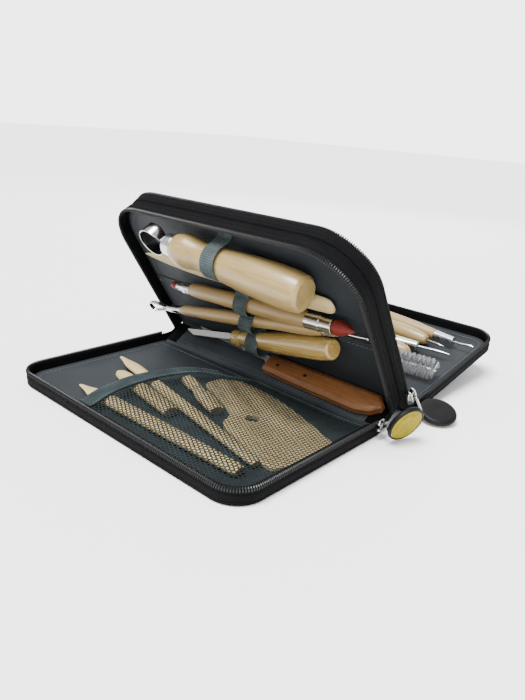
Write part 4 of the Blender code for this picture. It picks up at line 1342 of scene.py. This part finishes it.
def make_back_tools():
    """Hook, needle, pin and plain round tool."""
    hook = ["hook_tool_handle", "hook_tool_ferrule", "hook_tool_wire"]
    turned(hook[0], "tan_wood", hook, number=13)
    turned(hook[1], "aluminium", hook, fillet=0.3, shape=crimp(118, 133, 4, 0.14))
    place = tool_place(hook, "hook_tool")
    wire = through([(0, 0, 133), (0, 0, 140), (0.6, 0.3, 144), (1.2, 0.6, 147.5), (1.2, 0.3, 151)], 0.7)
    piece("hook_tool_steel", "hook_tool", "steel", tube(wire, 0.75), place, stands_for=(hook[2],))
    needle = ["needle_tool_handle", "needle_tool_pin"]
    turned(needle[0], "pale_wood", needle, number=15, fillet=0.9)
    turned(needle[1], "steel", needle, fillet=0.1)
    pin = ["pin_tool_handle", "pin_tool_pin"]
    turned(pin[0], "tan_wood", pin, number=17)
    turned(pin[1], "aluminium", pin, fillet=0.2, shape=crimp(89, 105, 4, 0.12))
    turned("round_tool", "pale_wood", number=19, fillet=1.2)


TWIST = 7.5          # one turn of the brush's two wires
BRISTLES = 1700
BRISTLE_REACH = 8.7
WIRE_OUT = 0.52


def make_brush_core(place, begin, finish):
    """Two wires twisted together; returns where the twist starts."""
    z = np.linspace(begin, finish, 330)
    twist = (z - z[0]) * 2 * math.pi / TWIST
    for number in (0, 1):
        phase = twist + number * math.pi
        parted = WIRE_OUT + 0.9 * np.exp(-(z - z[0]) / 1.6)
        strand = np.column_stack([parted * np.cos(phase), WIRE_OUT * np.sin(phase), z])
        piece(f"brush_core_{number}", "brush", "steel", tube(strand, 0.5, 8), place,
              stands_for=("brush_wire",) if number == 0 else ())
    return z[0]


def make_bristles(place, low, high, twist_start):
    """Nylon bristles that stand out of the twist, a little uneven."""
    chance = np.random.default_rng(7)
    share = np.linspace(0, 1, BRISTLES)
    along = low + 1 + share * (high - low - 1.5)
    phase = (along - twist_start) * 2 * math.pi / TWIST + (np.arange(BRISTLES) % 2) * math.pi
    phase = phase + chance.normal(0, 0.22, BRISTLES)
    trim = np.clip(1 - ((share - 0.94) / 0.06).clip(0, 1) * 0.12, 0, 1)
    reach = BRISTLE_REACH * trim * chance.uniform(0.9, 1.0, BRISTLES)
    outward = unit_rows(np.column_stack([np.cos(phase), np.sin(phase), chance.normal(0, 0.1, BRISTLES)]))
    beside = unit_rows(np.cross(outward, (0, 0, 1.0)))
    template = loft([np.array([(math.cos(a) * r, math.sin(a) * r, h) for a in np.radians((0, 120, 240))])
                     for h, r in ((0.04, 0.13), (0.55, 0.12), (1.0, 0.07))])
    origins = np.column_stack([np.zeros(BRISTLES), np.zeros(BRISTLES), along])
    mesh_parts = scatter(template, origins, beside, np.cross(outward, beside), outward * reach[:, None])
    piece("brush_nylon", "brush", "bristle", mesh_parts, place, stands_for=("brush_bristles",))


def make_brush():
    """Twisted twin-wire core with a finger loop, and nylon bristles caught in the twist."""
    place = tool_place(["brush_bristles", "brush_wire"], "brush")
    bristles = to_local(place, node_points("brush_bristles"))
    wire = to_local(place, node_points("brush_wire"))
    low, high, tail = bristles[:, 2].min(), bristles[:, 2].max(), wire[:, 2].min()
    loop_centre, radius = tail + 6.2, 5.5
    twist_start = make_brush_core(place, loop_centre + 5.6, high + 0.5)
    angles = np.radians(np.linspace(100, 440, 40))
    ring = [(radius * math.cos(a), 0, loop_centre + radius * math.sin(a)) for a in angles]
    piece("brush_finger_loop", "brush", "steel", tube(ring, 0.55), place)
    make_bristles(place, low, high, twist_start)


# ---- sliders and pulls --------------------------------------------------------------------------------

def rounded_plate(length, width, thick, low, taper=0.0):
    """A slider plate: a rounded outline, narrower at its tail, in X and Y."""
    angles = np.linspace(0, 2 * math.pi, 40, endpoint=False)
    x = np.sign(np.cos(angles)) * np.abs(np.cos(angles)) ** 0.5 * length / 2
    y = np.sign(np.sin(angles)) * np.abs(np.sin(angles)) ** 0.5 * width / 2
    y = y * (1 - taper * (x / length + 0.5))
    return prism(np.column_stack([x, y]), low, low + thick, min(0.35, thick * 0.4), 3)


def join(*parts):
    """Several small meshes as one."""
    points, faces, count = [], [], 0
    for more_points, more_faces in parts:
        points.append(np.asarray(more_points, float))
        faces += [tuple(corner + count for corner in face) for face in more_faces]
        count += len(more_points)
    return np.concatenate(points), faces


def make_slider(name, body, node, home):
    """Two plates joined by a post, with a bridge for the pull."""
    local = to_local(home, node_points(node))
    low, high = local.min(0), local.max(0)
    middle = (low + high) / 2
    deep = high[2] - low[2]
    upper = rounded_plate(8.8, 4.9, 1.2, deep / 2 - 1.6, 0.3)
    lower = rounded_plate(8.8, 4.9, 1.2, -deep / 2, 0.3)
    post = rounded_plate(2.2, 1.6, deep - 2.2, -deep / 2 + 0.9)
    arch = through([(-2.6, 0, deep / 2 - 0.6), (-2.0, 0, deep / 2 + 0.5), (0, 0, deep / 2 + 0.9),
                    (2.0, 0, deep / 2 + 0.5), (2.6, 0, deep / 2 - 0.6)], 0.5)
    points, faces = join(upper, lower, post, tube(arch, 0.55, 8))
    piece(name, body, "steel", (points + middle, faces), home, points, (node,))


# the disc's rubber rim and enamelled face as (height, radius)
DISC_RIM = [(-1.9, 0), (-2.0, 8.5), (-1.7, 11.5), (-0.9, 12.6), (0.4, 12.9), (1.5, 12.6), (2.0, 12.1),
            (2.05, 11.7), (1.5, 11.4), (1.5, 0)]
DISC_FACE = [(1.4, 11.35), (1.75, 11.2), (1.8, 9.6), (1.62, 9.4), (1.6, 9.2), (1.62, 8.9), (1.8, 8.7),
             (1.85, 4.0), (1.88, 0)]
# each pull's eye on its slider, the disc's centre and the way its face looks
PULLS = {
    "front": ((59.5, -114.0, 9.8), (65.45, -123.0, 14.15), (-0.29, -0.903, -0.313)),
    "back": ((93.4, -114.0, 19.9), (113.5, -121.5, 6.4), (0.2, 0.2, -0.96)),
}


def make_pull(side):
    """Round pull: a black rubber disc with a plain enamelled face, on a wire link."""
    body = f"{side}_pull"
    eye, centre, facing = (np.array(value) for value in PULLS[side])
    normal = unit(facing)
    inward = centre - eye
    inward = unit(inward - normal * (inward @ normal))
    place = make_frame(centre, inward, normal)
    mesh_parts = lathe(fine_profile(DISC_RIM, 0.3, 1.0, 50), steps=64)
    piece(f"{side}_pull_rubber", body, "rim", mesh_parts, place, stands_for=(f"{side}_pull_disc",))
    mesh_parts = lathe(fine_profile(DISC_FACE, 0.06, 1.0, 50), steps=64)
    piece(f"{side}_pull_enamel", body, "yellow", mesh_parts, place)
    hole = centre - inward * 11.2
    run = hole - eye
    across = unit(np.cross(run, normal))
    begin, finish = eye - unit(run) * 0.8, hole + unit(run) * 1.2
    corners = [begin + across * 1.4, finish + across * 2.6, finish - across * 2.6, begin - across * 1.4]
    outline = np.concatenate([np.linspace(a, b, 12, endpoint=False)
                              for a, b in zip(corners, corners[1:] + corners[:1])])
    for _ in range(4):
        outline = (outline + np.roll(outline, 1, 0) + np.roll(outline, -1, 0)) / 3
    wire = tube(outline, 0.6, 10, loop=True)
    piece(f"{side}_pull_wire", body, "steel", wire, WORLD, stands_for=(f"{side}_pull_link",))


# ---- stage ------------------------------------------------------------------------------------------

def lamp(name, kind, place, target, **settings):
    """A light at a place, turned to face a target."""
    light = bpy.data.lights.new(name, kind)
    for key, value in settings.items():
        setattr(light, key, value)
    made = bpy.data.objects.new(name, light)
    bpy.context.scene.collection.objects.link(made)
    made.location = place
    away = unit(np.array(place) - np.array(target))
    right = unit(np.cross((0, 0, 1.0), away))
    made.rotation_euler = Matrix([right, np.cross(away, right), away]).transposed().to_euler()


def make_stage():
    """A white table without an edge in view, an even white surround and three soft lights."""
    mesh = bpy.data.meshes.new("floor")
    size = 6.0
    corners = [(-size, -size, 0), (size, -size, 0), (size, size, 0), (-size, size, 0)]
    mesh.from_pydata(corners, [], [(0, 1, 2, 3)])
    floor = bpy.data.objects.new("floor", mesh)
    floor.location = (0, 0, -0.0002)
    bpy.context.scene.collection.objects.link(floor)
    material, tree, shader = start("floor", 0.8)
    cloud = add(tree, "TexNoise", Scale=3.0).outputs["Fac"]
    tree.links.new(ramp(tree, cloud, [(0.3, (0.93, 0.93, 0.93)), (0.7, (0.95, 0.95, 0.95))]),
                   shader.inputs["Base Color"])
    mesh.materials.append(material)
    world = bpy.data.worlds.new("studio")
    bpy.context.scene.world = world
    world.use_nodes = True
    tree = world.node_tree
    seen = add(tree, "LightPath").outputs["Is Camera Ray"]
    glow = add(tree, "MapRange", Value=seen, To_Min=0.85, To_Max=4.2).outputs[0]
    tree.nodes["Background"].inputs["Color"].default_value = (1, 1, 1, 1)
    tree.links.new(glow, tree.nodes["Background"].inputs["Strength"])
    target = (0.03, 0, 0.05)
    lamp("key", "SUN", (-0.35, 0.10, 1.0), (0, 0, 0), energy=9.5, angle=math.radians(32))
    lamp("front", "AREA", (-0.9, -0.8, 0.7), target, energy=12, size=0.9)
    lamp("back", "AREA", (0.9, 0.5, 0.6), target, energy=5, size=0.8)


def make_camera():
    """The viewpoint at the near left of the open case, slightly rolled."""
    azimuth, elevation, roll, focal, tall = -0.85946, 0.34973, 0.07736, 620.06, 700.0
    data = bpy.data.cameras.new("camera")
    data.sensor_width = 36.0
    data.lens = focal / tall * data.sensor_width
    data.clip_start, data.clip_end = 0.01, 50
    camera = bpy.data.objects.new("camera", data)
    bpy.context.scene.collection.objects.link(camera)
    forward = np.array([-math.sin(azimuth) * math.cos(elevation), math.cos(azimuth) * math.cos(elevation),
                        -math.sin(elevation)])
    level = np.array([math.cos(azimuth), math.sin(azimuth), 0])
    upright = np.cross(level, forward)
    right = math.cos(roll) * level + math.sin(roll) * upright
    up = -math.sin(roll) * level + math.cos(roll) * upright
    camera.rotation_euler = Matrix([right, up, -forward]).transposed().to_euler()
    camera.location = (-0.25432, -0.27894, 0.18007)
    bpy.context.scene.camera = camera


make_camera()
make_stage()
make_case()
make_spine()
make_folds()
make_gussets()
net_shape = net_height(make_pocket_tools())
make_net(net_shape)
make_binding(net_shape)
make_hems(net_shape)
make_ribbon_tool()
make_leaf_knife()
make_shaper()
make_detail_tool()
make_clay_knife()
make_potter_knife()
make_slip_panel()
make_elastics()
make_back_tools()
make_brush()
make_slider("front_slider_body", "front_slider", "front_slider", FRONT)
make_slider("back_slider_body", "back_slider", "back_slider", LEAF)
make_pull("front")
make_pull("back")
